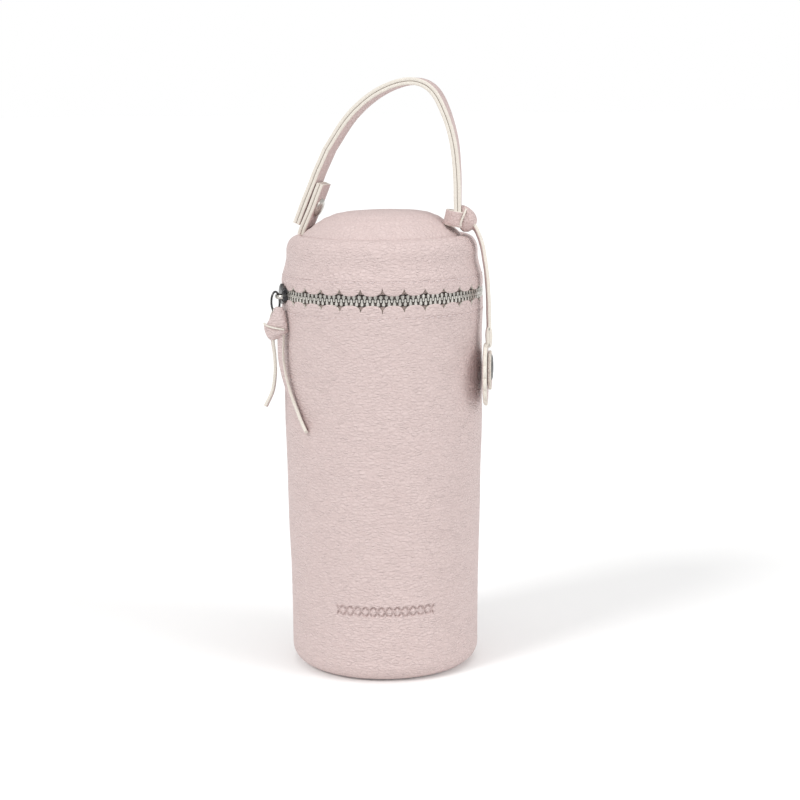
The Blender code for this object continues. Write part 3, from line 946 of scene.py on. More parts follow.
@dataclass
class CaseBody:
    """The body below the zip: skin, base panel, foam, board and lining."""

    wardrobe: Wardrobe
    zip_line: ZipLine
    stitching: Stitching
    base_round: float = 8.2 * MM
    base_radius: float = 45.7 * MM
    # the heights between which the skin's rows are close enough to hold the pressed motif
    motif_rows: tuple[float, float] = (31.0 * MM, 39.0 * MM)
    panel_radius: float = field(init=False)

    def __post_init__(self) -> None:
        """Read the base panel's radius from the frame."""
        low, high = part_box("base_panel")
        self.panel_radius = (high.x - low.x) / 2

    def outer_radius(self, height: float) -> float:
        """The body's outer radius: slim at the base, full below the zip."""
        swell = 0.6 * MM * eased(height, 0.02, 0.07) + 1.6 * MM * eased(height, 0.04, 0.14)
        flare = 0.5 * MM * eased(height, self.zip_line.height - 22 * MM, self.zip_line.height - 8 * MM)
        return self.base_radius + swell + flare

    def rows(self) -> Profile:
        """(radius, height) of the skin's outer surface, from the base seam to the zip."""
        middle = self.base_radius - self.base_round
        rows = [(middle + 0.2 * MM, 1.9 * MM), (middle + 0.1 * MM, 0.7 * MM)]
        for angle in steps(6.0, 90.0, 14):
            turn = math.radians(angle)
            rows.append((middle + self.base_round * math.sin(turn),
                         0.35 * MM + self.base_round * (1.0 - math.cos(turn))))
        top = self.zip_line.height - 6.0 * MM
        height = rows[-1][1]
        while height < top - 0.4 * MM:
            near_motif = self.motif_rows[0] < height < self.motif_rows[1]
            near_seam = height > self.zip_line.height - 11.0 * MM
            height += 0.4 * MM if near_motif or near_seam else 1.25 * MM
            rows.append((self.outer_radius(height), min(height, top)))
        return rows

    def build(self) -> None:
        """Build and dress the body."""
        looks = self.wardrobe
        skin = Skin(self.zip_line).sleeve("body_skin", self.rows(), -1, [looks.skin, looks.edge], Motif())
        dress(skin, "case", Slot.LEATHERETTE, "body_shell", "lower_scallop_trim")
        LOG.info("body skin built")

        self.build_base()
        self.build_lining()
        self.build_seams()
        for name, finish, slot in (("body_foam", looks.foam, Slot.FOAM), ("base_foam", looks.foam, Slot.FOAM),
                                   ("base_board", looks.board, Slot.BOARD)):
            dress_node(name, finish)

    def build_base(self) -> None:
        """The round base panel, sewn in with its edge turned up."""
        radius = self.panel_radius - 0.5 * MM
        profile = [(0.0, 0.0), (radius - 9.0 * MM, 0.0), (radius - 1.2 * MM, 0.0),
                   (radius - 0.3 * MM, 0.35 * MM), (radius, 1.1 * MM), (radius - 0.4 * MM, 1.5 * MM),
                   (0.0, 1.5 * MM)]
        panel = lathe("base_leather", profile, [self.wardrobe.skin], 144)
        dress(panel, "case", Slot.LEATHERETTE, "base_panel")
        LOG.info("base panel built")

    def build_lining(self) -> None:
        """The lining: a film cup whose rim turns out to meet the zip tape."""
        low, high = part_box("body_lining")
        inner = (high.x - low.x) / 2 - 0.8 * MM
        rim = self.zip_line.height - 7.0 * MM
        outer, lip = inner + 0.6 * MM, 45.7 * MM
        inside = [(0.0, low.z + 0.8 * MM), (30.0 * MM, low.z + 0.9 * MM), (35.2 * MM, low.z + 1.5 * MM),
                  (38.6 * MM, low.z + 4.0 * MM), (inner, low.z + 7.6 * MM), (inner, 0.06), (inner, 0.11),
                  (inner, rim - 6.0 * MM), (inner + 1.0 * MM, rim - 2.6 * MM),
                  (inner + 3.2 * MM, rim - 0.4 * MM), (lip, rim + 0.5 * MM)]
        outside = [(lip, rim), (inner + 3.2 * MM, rim - 1.0 * MM), (inner + 1.3 * MM, rim - 3.2 * MM),
                   (outer, rim - 6.4 * MM), (outer, 0.11), (outer, 0.06), (outer, low.z + 7.2 * MM),
                   (38.9 * MM, low.z + 3.5 * MM), (35.4 * MM, low.z + 0.8 * MM),
                   (30.0 * MM, low.z + 0.2 * MM), (0.0, low.z + 0.1 * MM)]

        def crumple(degrees: float, radius: float, height: float) -> float:
            """Slight waves of the film."""
            return noise.noise(polar(radius, degrees, height) * 60.0) * 0.25 * MM

        lining = lathe("body_lining_film", inside + outside, [self.wardrobe.film], 144, shape=crumple)
        dress(lining, "case", Slot.LINING, "body_lining")
        LOG.info("body lining built")

    def build_seams(self) -> None:
        """The stitches below the zip."""
        line = self.zip_line
        sew_round(self.stitching, "lower_stitches", line, line.height - line.stitch_line,
                  self.outer_radius(line.height - line.stitch_line), "case")


def sew_round(stitching: Stitching, name: str, line: ZipLine, height: float, radius: float,
              body: str) -> None:
    """Sew a row of stitches along the zip.

    Args:
        stitching: what makes the threads.
        name: the piece's name.
        line: the zip's sizes.
        height: the row's height.
        radius: the leather's radius there.
        body: the body that the row rides on.
    """
    turn = line.stitch_pitch / line.radius
    start = -math.floor(math.radians(line.half_sweep) / turn) * turn
    length = 2 * abs(start) * line.radius

    def spot(along: float) -> Vector:
        """The place at a distance along the row."""
        return polar(radius - 0.05 * MM, math.degrees(start + along / line.radius), height)

    def out(along: float) -> Vector:
        """The way out of the leather."""
        return outward(math.degrees(start + along / line.radius))

    row = stitching.run(name, spot, out, length, line.stitch_pitch)
    dress(row, body, Slot.LEATHERETTE)


def dress_node(name: str, finish: Finish) -> None:
    """Give a carried-over CAD node its finish.

    Args:
        name: the node's name.
        finish: its material.
    """
    piece = FRAME["nodes"][name]
    piece.data.materials.clear()
    piece.data.materials.append(finish)


# ---------------------------------------------------------------- the zip


@dataclass
class ZipChain:
    """Two rows of metal teeth clamped on woven tapes, with a stop at the end of each."""

    wardrobe: Wardrobe
    zip_line: ZipLine
    pitch: float = 2.5 * MM
    root: float = 2.4 * MM
    tip: float = 0.7 * MM
    deep: float = 1.7 * MM
    stop_size: Vector = field(default_factory=lambda: Vector((2.2, 1.6, 2.5)) * MM)
    stop_angle: float = 145.2

    def tooth(self) -> tuple[list[Vector], list[list[int]]]:
        """One tooth as (along, out, towards the middle) points and faces: wide clamp, narrow head."""
        wide, neck, head = 0.70 * MM, 0.42 * MM, 0.55 * MM
        outline = [(-wide * 0.8, -self.root), (wide * 0.8, -self.root), (wide, -1.9 * MM), (wide, -1.15 * MM),
                   (neck, -0.7 * MM), (neck, -0.1 * MM), (head, 0.2 * MM), (head * 0.7, self.tip),
                   (-head * 0.7, self.tip), (-head, 0.2 * MM), (-neck, -0.1 * MM), (-neck, -0.7 * MM),
                   (-wide, -1.15 * MM), (-wide, -1.9 * MM)]
        build = bmesh.new()
        face = build.faces.new([build.verts.new((x, 0.0, z)) for x, z in outline])
        grown = bmesh.ops.extrude_face_region(build, geom=[face])
        lifted = [item for item in grown["geom"] if isinstance(item, bmesh.types.BMVert)]
        bmesh.ops.translate(build, vec=(0.0, -self.deep, 0.0), verts=lifted)
        bmesh.ops.recalc_face_normals(build, faces=build.faces)
        bmesh.ops.bevel(build, geom=build.edges[:], offset=0.15 * MM, segments=2, affect="EDGES", profile=0.6)
        for vertex in build.verts:
            # the head lies deeper than the clamp
            head_share = eased(vertex.co.z, -1.1 * MM, -0.2 * MM)
            vertex.co.y += 0.42 * MM * head_share * (vertex.co.y / -self.deep + 0.4)
        build.verts.index_update()
        points = [vertex.co.copy() for vertex in build.verts]
        faces = [[vertex.index for vertex in item.verts] for item in build.faces]
        build.free()
        return points, faces

    def row(self, name: str, side: int, body: str, node: str) -> None:
        """Set a row of teeth round the case.

        Args:
            name: the piece's name.
            side: -1 for the lower row, 1 for the upper one.
            body: the body that it rides on.
            node: the CAD node that it stands for.
        """
        line = self.zip_line
        turn = math.degrees(self.pitch / line.radius)
        count = int((2 * line.half_sweep - 3.0) / turn)
        shape, pattern = self.tooth()
        points: list[Vector] = []
        faces: list[list[int]] = []
        for number in range(count):
            degrees = -line.half_sweep + 1.6 + (number + (0.5 if side > 0 else 0.0)) * turn
            apart = self.apart(degrees)
            out, along = outward(degrees), outward(degrees + 90.0)
            middle = polar(line.radius - 0.25 * MM, degrees, line.height + side * apart)
            start = len(points)
            for point in shape:
                points.append(middle + along * point.x + out * point.y + Vector((0, 0, -side * point.z)))
            faces += [[start + index for index in item] for item in pattern]
        teeth = new_piece(name, points, faces, [self.wardrobe.nickel], crease=50.0)
        dress(teeth, body, Slot.NICKEL, node)

    def apart(self, degrees: float) -> float:
        """How far each row stands off its meshed place at an angle: the zip is open behind the slider."""
        slider = self.zip_line.slider_angle
        return 0.95 * MM * (1.0 - eased(degrees, slider - 9.0, slider + 1.0))

    def cord(self, name: str, side: int, body: str) -> None:
        """The tape's thick edge that the teeth are clamped on, coloured near black as painted shade between
        the teeth.
        """
        line = self.zip_line
        sections = []
        for degrees in steps(-line.half_sweep, line.half_sweep, 200):
            height = line.height + side * (1.5 * MM + self.apart(degrees))
            section = []
            for a in round_turns(8):
                section.append(polar(line.radius - 1.15 * MM + 0.55 * MM * math.cos(a), degrees,
                                     height + 0.72 * MM * math.sin(a)))
            sections.append(section)
        bead = loft(name, sections, [self.wardrobe.cord], crease=60.0)
        dress(bead, body, Slot.TAPE)

    def build(self) -> None:
        """Build both rows, their cords and stops."""
        self.row("lower_teeth", -1, "case", "lower_zip_teeth")
        self.row("upper_teeth", 1, "lid", "upper_zip_teeth")
        self.cord("lower_tape_cord", -1, "case")
        self.cord("upper_tape_cord", 1, "lid")
        for node in ("lower_zip_tape", "upper_zip_tape"):
            dress_node(node, self.wardrobe.tape)
        for body, node in (("case", "lower_zip_stop"), ("lid", "upper_zip_stop")):
            stop = rounded_block(node + "_clamp", self.stop_size, 0.45 * MM, self.wardrobe.nickel)
            moved(stop, Matrix.Translation(middle_of(node))
                  @ Matrix.Rotation(math.radians(self.stop_angle), 4, "Z"))
            dress(stop, body, Slot.NICKEL, node)
        LOG.info("zip chain built")


def rounded_block(name: str, size: Vector, bevel: float, finish: Finish) -> Piece:
    """A block with round edges about the origin.

    Args:
        name: the piece's name.
        size: its size along each axis.
        bevel: the radius of its edges.
        finish: its material.

    Returns:
        The new object.
    """
    build = bmesh.new()
    bmesh.ops.create_cube(build, size=1.0)
    bmesh.ops.scale(build, vec=size, verts=build.verts)
    bmesh.ops.bevel(build, geom=build.edges[:], offset=bevel, segments=4, affect="EDGES", profile=0.5)
    build.verts.index_update()
    points = [vertex.co.copy() for vertex in build.verts]
    faces = [[vertex.index for vertex in item.verts] for item in build.faces]
    build.free()
    return new_piece(name, points, faces, [finish], crease=60.0)


# ---------------------------------------------------------------- the lid


@dataclass
class Lid:
    """The padded lid: band with its shoulder, domed top panel, lining and foam."""

    wardrobe: Wardrobe
    zip_line: ZipLine
    stitching: Stitching
    band_radius: float = 45.9 * MM
    seam_height: float = 200.6 * MM + RISE
    seam_radius: float = field(init=False)
    crown: float = field(init=False)
    tilt: float = 0.022
    crown_falls: Marks = ((0.0, 0.0), (10.0, 0.1), (17.0, 0.55), (22.0, 1.4), (27.0, 3.3), (31.0, 5.8),
                          (34.5, 8.6), (38.4, 11.6))

    def __post_init__(self) -> None:
        """Read the driving sizes from the frame."""
        low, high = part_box("lid_top_panel")
        self.seam_radius = (high.x - low.x) / 2
        self.crown = high.z

    def rows(self) -> Profile:
        """(radius, height) of the band's outer surface, from the top seam down to the zip."""
        seam, band = self.seam_radius, self.band_radius
        rows = [(seam + 0.1 * MM, self.seam_height - 1.9 * MM),
                (seam + 0.15 * MM, self.seam_height - 0.5 * MM)]
        # the shoulder rolls over from the seam to the wall
        for angle in steps(0.0, 90.0, 16):
            turn = math.radians(angle)
            rows.append((seam + 0.9 * MM + (band - seam - 0.9 * MM) * math.sin(turn) ** 0.92,
                         self.seam_height - 7.6 * MM + 8.0 * MM * math.cos(turn) ** 0.9))
        height, stop = rows[-1][1], self.zip_line.height + 6.0 * MM
        while height > stop + 0.3 * MM:
            height = max(stop, height - 0.42 * MM)
            rows.append((self.outer_radius(height), height))
        return rows

    def outer_radius(self, height: float) -> float:
        """The band's outer radius: it flares out towards the zip."""
        flare = 1.0 - eased(height, self.zip_line.height + 5.0 * MM, self.zip_line.height + 17.5 * MM)
        return self.band_radius + (self.zip_line.radius - self.band_radius) * flare

    def dome(self, radius: float) -> float:
        """The top panel's height at a radius: nearly flat, then falling to the seam."""
        marks = self.crown_falls
        for (start, before), (stop, after) in zip(marks, marks[1:]):
            if radius <= stop * MM:
                share = eased(radius / MM, start, stop) * 0.35 + 0.65 * (radius / MM - start) / (stop - start)
                return self.crown - (before + (after - before) * share) * MM
        return self.crown - marks[-1][1] * MM

    def build(self) -> None:
        """Build and dress the lid."""
        looks = self.wardrobe
        band = Skin(self.zip_line).sleeve("lid_skin", self.rows(), 1, [looks.skin, looks.edge])
        dress(band, "lid", Slot.LEATHERETTE, "lid_band", "upper_scallop_trim")
        LOG.info("lid skin built")

        self.build_top()
        self.build_lining()
        line = self.zip_line
        sew_round(self.stitching, "upper_stitches", line, line.height + line.stitch_line,
                  self.outer_radius(line.height + line.stitch_line), "lid")
        for name in ("lid_foam_band", "lid_foam_disc"):
            dress_node(name, looks.foam)

    def build_top(self) -> None:
        """The domed top panel, padded, with puckers along its seam."""
        top: Profile = [(0.0, self.dome(0.0))]
        edge = self.seam_radius
        top += [(edge * share, self.dome(edge * share)) for share in steps(0.02, 0.955, 48)]
        top += [(edge * 0.975, self.dome(edge * 0.965) - 0.35 * MM),
                (edge * 0.99, self.seam_height + 0.2 * MM), (edge - 0.1 * MM, self.seam_height - 0.8 * MM)]
        under = [(edge - 1.4 * MM, self.seam_height - 1.0 * MM),
                 (edge * 0.8, self.dome(edge * 0.8) - 1.3 * MM),
                 (edge * 0.5, self.dome(edge * 0.5) - 1.2 * MM), (0.0, self.dome(0.0) - 1.2 * MM)]
        sections = []
        for degrees in steps(0.0, 360.0, 288)[:-1]:
            section = []
            for index, (radius, height) in enumerate(top + under):
                point = polar(radius, degrees, height)
                lift = grain_swell(point) * 0.8
                pucker = math.sin(math.radians(degrees) * 46.0) * eased(radius, edge * 0.86, edge * 0.96)
                lift += 0.07 * MM * pucker * (1.0 if index < len(top) else 0.0)
                lift += self.tilt * point.x * (1.0 - (radius / edge) ** 2)
                section.append(point + Vector((0, 0, lift if radius else 0.0)))
            sections.append(section)
        panel = joined(loft("lid_top_leather", sections, [self.wardrobe.crown], ring=True, crease=55.0))
        dress(panel, "lid", Slot.LEATHERETTE, "lid_top_panel")
        LOG.info("lid top built")

    def build_lining(self) -> None:
        """The lid's lining: a film dome whose rim turns out to meet the zip tape."""
        low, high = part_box("lid_lining")
        inner = (high.x - low.x) / 2 - 0.8 * MM
        rim = self.zip_line.height + 7.0 * MM
        top = high.z
        outside = [(45.7 * MM, rim), (inner + 3.0 * MM, rim + 0.9 * MM), (inner + 1.2 * MM, rim + 3.4 * MM),
                   (inner + 0.7 * MM, top - 16.4 * MM), (36.6 * MM, top - 11.8 * MM),
                   (27.0 * MM, top - 5.4 * MM), (20.0 * MM, top - 2.0 * MM), (0.0, top)]
        inside = [(0.0, top - 0.6 * MM), (19.6 * MM, top - 2.6 * MM), (26.6 * MM, top - 6.0 * MM),
                  (36.0 * MM, top - 12.4 * MM), (inner, top - 16.8 * MM), (inner + 0.5 * MM, rim + 3.2 * MM),
                  (inner + 2.6 * MM, rim + 0.3 * MM), (45.7 * MM, rim - 0.5 * MM)]
        lining = lathe("lid_lining_film", outside + inside, [self.wardrobe.film], 144)
        dress(lining, "lid", Slot.LINING, "lid_lining")


@dataclass
class Hinge:
    """The leather hinge across the back, which bends as the lid opens."""

    wardrobe: Wardrobe
    zip_line: ZipLine
    stitching: Stitching
    reach: float = 12.0 * MM
    lining_reach: float = 9.0 * MM

    def panel(self, name: str, outer: float, thick: float, reach: float, finishes: list[Finish]) -> Piece:
        """A curved panel across the back.

        Args:
            name: the piece's name.
            outer: the radius of its outer side.
            thick: its thickness.
            reach: how far it reaches above and below the zip.
            finishes: its face's and its edge's materials.

        Returns:
            The new object.
        """
        start, stop = self.zip_line.half_sweep + 0.5, 360.0 - self.zip_line.half_sweep - 0.5
        sections = []
        for degrees in steps(start, stop, 80):
            near = min(degrees - start, stop - degrees)
            corner = reach - 2.0 * MM * (1.0 - eased(near, 0.0, 2.6))
            heights = [self.zip_line.height + corner * share for share in steps(-1.0, 1.0, 40)]
            section = []
            for index, height in enumerate(heights):
                rim = 0.3 * MM if index in (0, len(heights) - 1) else 0.0
                swell = noise.noise(polar(outer, degrees, height) * 160.0) * 0.12 * MM
                section.append(polar(outer - rim + swell, degrees, height))
            section += [polar(outer - thick, degrees, height) for height in heights[::-8]]
            sections.append(section)
        count = len(sections[0])
        sides = [0] * count
        sides[40], sides[count - 1] = 1, 1
        return loft(name, sections, finishes, sides, cap=1, crease=55.0)

    def build(self) -> None:
        """Build the hinge, its lining and its stitches; each row of stitches rides on the case or the lid."""
        looks, line = self.wardrobe, self.zip_line
        flap = self.panel("hinge_leather", line.radius + 0.9 * MM, 1.0 * MM, self.reach,
                          [looks.skin, looks.edge])
        inner = self.panel("hinge_lining_cloth", line.radius - 1.3 * MM, 0.6 * MM, self.lining_reach,
                           [looks.tape, looks.tape])
        for piece, node, slot in ((flap, "hinge_flap", Slot.LEATHERETTE), (inner, "hinge_lining", Slot.TAPE)):
            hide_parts(node)
            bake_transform(piece)
        for side, body in ((-1, "case"), (1, "lid")):
            self.sew(side, body)
        LOG.info("hinge built")

    def sew(self, side: int, body: str) -> None:
        """Sew one long edge of the hinge to the leather behind it."""
        line = self.zip_line
        start = math.radians(line.half_sweep + 2.5)
        length = (2 * math.pi - 2 * start) * line.radius

        def spot(along: float) -> Vector:
            """The place at a distance along the seam."""
            return polar(line.radius + 0.95 * MM, math.degrees(start + along / line.radius),
                         line.height + side * (self.reach - 1.8 * MM))

        def out(along: float) -> Vector:
            """The way out of the leather."""
            return outward(math.degrees(start + along / line.radius))

        row = self.stitching.run(f"hinge_stitches_{body}", spot, out, length, line.stitch_pitch)
        dress(row, body, Slot.LEATHERETTE)


# ---------------------------------------------------------------- the handle


@dataclass
class Handle:
    """The strap handle: two leather layers, a tab with a press stud, and a knot at the other foot."""

    wardrobe: Wardrobe
    turn: float = math.radians(17.0)
    width: float = 12.0 * MM
    layer: float = 1.62 * MM
    snap_place: tuple[float, float] = (-33.4, 214.2)
    arch: Marks = ((-25.6, 241.4), (-15.2, 256.0), (-3.8, 266.0), (8.0, 271.6), (18.4, 272.7), (26.4, 268.5),
                   (32.0, 258.3), (35.9, 245.0), (37.4, 230.0), (37.6, 214.0), (37.8, 205.6))
    end: Marks = ((-41.4, 206.0), (-37.4, 215.6), (-33.0, 225.6), (-30.75, 230.9), (-25.6, 241.4))
    tab: Marks = ((-39.2, 200.6), (-38.3, 203.4), (-36.6, 207.2), (-33.4, 214.2), (-28.9, 225.0))
    # height, middle, half width and half depth of the knot's second turn
    second_turn: Marks = ((215.0, 38.2, 0.9, 2.6), (213.8, 39.0, 2.3, 4.0), (211.4, 40.2, 3.6, 5.2),
                          (208.4, 40.7, 4.3, 5.6), (205.9, 40.4, 4.0, 4.9), (203.9, 40.0, 2.9, 3.8),
                          (202.7, 39.8, 1.3, 2.2))
    second_turn_out: float = -12.6
    knot_rim: Marks = ((39.6, -16.4, 213.6), (38.5, -17.7, 210.8), (37.4, -17.6, 208.2), (36.7, -16.8, 205.6))

    def spot(self, along: float, across: float, height: float) -> Vector:
        """The place of a point given in the arch's plane, across it and by height."""
        return Vector((along * math.cos(self.turn) + across * math.sin(self.turn),
                       -along * math.sin(self.turn) + across * math.cos(self.turn), height + RISE))

    def path(self, points: Marks, per_span: int) -> list[Vector]:
        """A smooth line in the arch's plane through points given in millimetres."""
        return smooth_path([self.spot(s * MM, 0.0, z * MM) for s, z in points], per_span)

    def facing(self, degrees: float) -> Vector:
        """The strap's width direction when it is turned by an angle about Z."""
        turn = math.radians(degrees)
        return Vector((math.sin(turn), math.cos(turn), 0.0))

    def layers(self, name: str, path: list[Vector], nodes: tuple[str, str], last: float = 17.0
               ) -> list[Piece]:
        """Two bonded layers along a path, with the dark bond between them: a bonding line and the painted
        shade of the gap between the layers.

        Args:
            name: how the pieces' names start.
            path: the middle line.
            nodes: the CAD nodes of the outer and the inner layer.
            last: the turn of the strap's width at the path's end, in degrees.

        Returns:
            The outer layer, the inner layer and the bond.
        """
        looks = self.wardrobe
        first = math.degrees(self.turn)

        def side(index: int) -> Vector:
            """The width's direction, which turns along the path."""
            return self.facing(first + (last - first) * eased(index / (len(path) - 1), 0.25, 1.0))

        strip = Strip(self.width, self.layer)
        half = self.layer / 2 + 0.1 * MM
        # the outer side of the arch is on the left going down, and on the right going up
        outer_side = 1.0 if path[0].z < path[-1].z or "arch" in name else -1.0
        outer = strip.along(name + "_outer_layer", path, side, [looks.strap, looks.edge],
                            half * outer_side, 0.05 * MM)
        inner = strip.along(name + "_inner_layer", path, side, [looks.strap, looks.edge],
                            -half * outer_side, 0.05 * MM)
        # the bond's dark colour is partly painted shade of the gap between the layers
        bond = Strip(self.width - 0.5 * MM, 0.26 * MM, 0.05 * MM).along(
            name + "_bond", path[1:-1], lambda i: side(i + 1), [looks.glue_and_gap_shade, looks.glue_and_gap_shade])
        for piece, node in ((outer, nodes[0]), (inner, nodes[1])):
            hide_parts(node)
        return [outer, inner, bond]

    def build(self) -> None:
        """Build the strap, the tab, the press stud and the knot."""
        for piece in self.layers("strap_arch", self.path(self.arch, 12), ("strap_outer", "strap_inner"), 3.0):
            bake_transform(piece)
        top = self.path(self.end, 10)
        for piece in self.layers("strap_end", top, ("strap_end_outer", "strap_end_inner")):
            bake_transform(piece)
        for piece in self.layers("tab", self.path(self.tab, 8), ("tab_outer", "tab_inner")):
            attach(piece, "lid")
        self.build_snap()
        self.build_knot()
        LOG.info("handle built")

    def build_snap(self) -> None:
        """The press stud's four parts: cap, socket, stud and backing."""
        looks = self.wardrobe
        away = Vector((-0.92, 0.0, 0.39)).normalized()
        axis = self.spot(away.x, 0.0, away.z - RISE)
        middle = self.spot(self.snap_place[0] * MM, 0.0, self.snap_place[1] * MM)
        pair = self.layer + 0.1 * MM
        cap = [(0.0, -2.0), (1.6, -1.92), (3.2, -1.6), (4.3, -1.0), (4.75, -0.35), (4.7, 0.05), (0.0, 0.05)]
        back = [(0.0, -0.05), (3.6, -0.05), (3.7, 0.35), (3.4, 0.75), (2.9, 0.85), (2.5, 0.6), (0.0, 0.55)]
        socket = [(2.1, -0.1), (4.2, -0.1), (4.3, 0.1), (4.1, 0.22), (2.4, 0.22), (2.1, 0.1)]
        stud = [(0.0, 0.1), (3.6, 0.1), (3.6, -0.1), (2.0, -0.16), (1.8, -0.24), (0.0, -0.26)]
        gap = 3.9 * MM
        parts = (("snap_cap_dome", cap, middle - axis * pair, "lid", "snap_cap"),
                 ("snap_socket_ring", socket, middle + axis * pair, "lid", None),
                 ("snap_stud_button", stud, middle + axis * (gap - pair), "strap_end", None),
                 ("snap_backing_disc", back, middle + axis * (gap + pair), "strap_end", "snap_stud_backing"))
        for name, profile, centre, body, node in parts:
            piece = lathe(name, [(r * MM, z * MM) for r, z in profile], [looks.nickel], 48)
            moved(piece, standing(centre, axis))
            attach(piece, body)
            if node:
                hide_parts(node)

    def build_knot(self) -> None:
        """The strap's knot: a band round its foot, and a second turn that crosses it on the outer side."""
        looks = self.wardrobe
        foot = self.spot(38.4 * MM, 0.0, 208.4 * MM) + Vector((-1.4, -0.2, 0.4)) * MM
        wide, deep, tall, lean = 5.0 * MM, 5.3 * MM, 7.4 * MM, 11.0
        tilt = Matrix.Rotation(math.radians(lean), 4, "Y")
        path = [foot + tilt @ Vector((wide * math.cos(a), deep * math.sin(a), 0.0))
                for a in round_turns(64)]
        band = leather_ring("knot_wrap_front", path, tilt @ Vector((0, 0, 1)), tall, 1.5 * MM,
                            [looks.strap, looks.edge])
        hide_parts("handle_knot")

        sections = []
        for height, middle, half_wide, half_deep in self.second_turn:
            section = []
            for a in round_turns(48):
                fold = 1.0 - 0.16 * math.exp(-((math.cos(a) + 0.15) / 0.2) ** 2)
                section.append(raised((middle + half_wide * math.cos(a),
                                       self.second_turn_out + half_deep * math.sin(a) * fold, height)))
            sections.append(section)
        side = loft("knot_wrap_side", refined(sections, 4), [looks.strap], crease=60.0)
        rim = smooth_path([raised(place) for place in self.knot_rim], 6)
        seam = Strip(0.9 * MM, 0.9 * MM, 0.15 * MM).along("knot_cut_edge", rim, lambda i: Vector((0, -1, 0)),
                                                          [looks.edge, looks.edge])
        for piece in (band, side, seam):
            dress(piece, "lid", Slot.LEATHERETTE)


def leather_ring(name: str, path: Sequence[Vector], across: Vector, width: float, thick: float,
                 finishes: list[Finish]) -> Piece:
    """A band of leather closed on itself.

    Args:
        name: the piece's name.
        path: the band's middle line.
        across: its width's direction.
        width: its width.
        thick: its thickness.
        finishes: its face's and its edge's materials.

    Returns:
        The new object.
    """
    outline, sides = Strip(width, thick).outline()
    sections = []
    for i, point in enumerate(path):
        ahead = (path[(i + 1) % len(path)] - path[i - 1]).normalized()
        out = across.cross(ahead).normalized()
        section = []
        for x, y in outline:
            spot = point + across * x + out * y
            section.append(spot + out * noise.noise(spot * 220.0) * 0.25 * MM)
        sections.append(section)
    return loft(name, sections, finishes, sides, ring=True, crease=50.0)


# ---------------------------------------------------------------- the charm


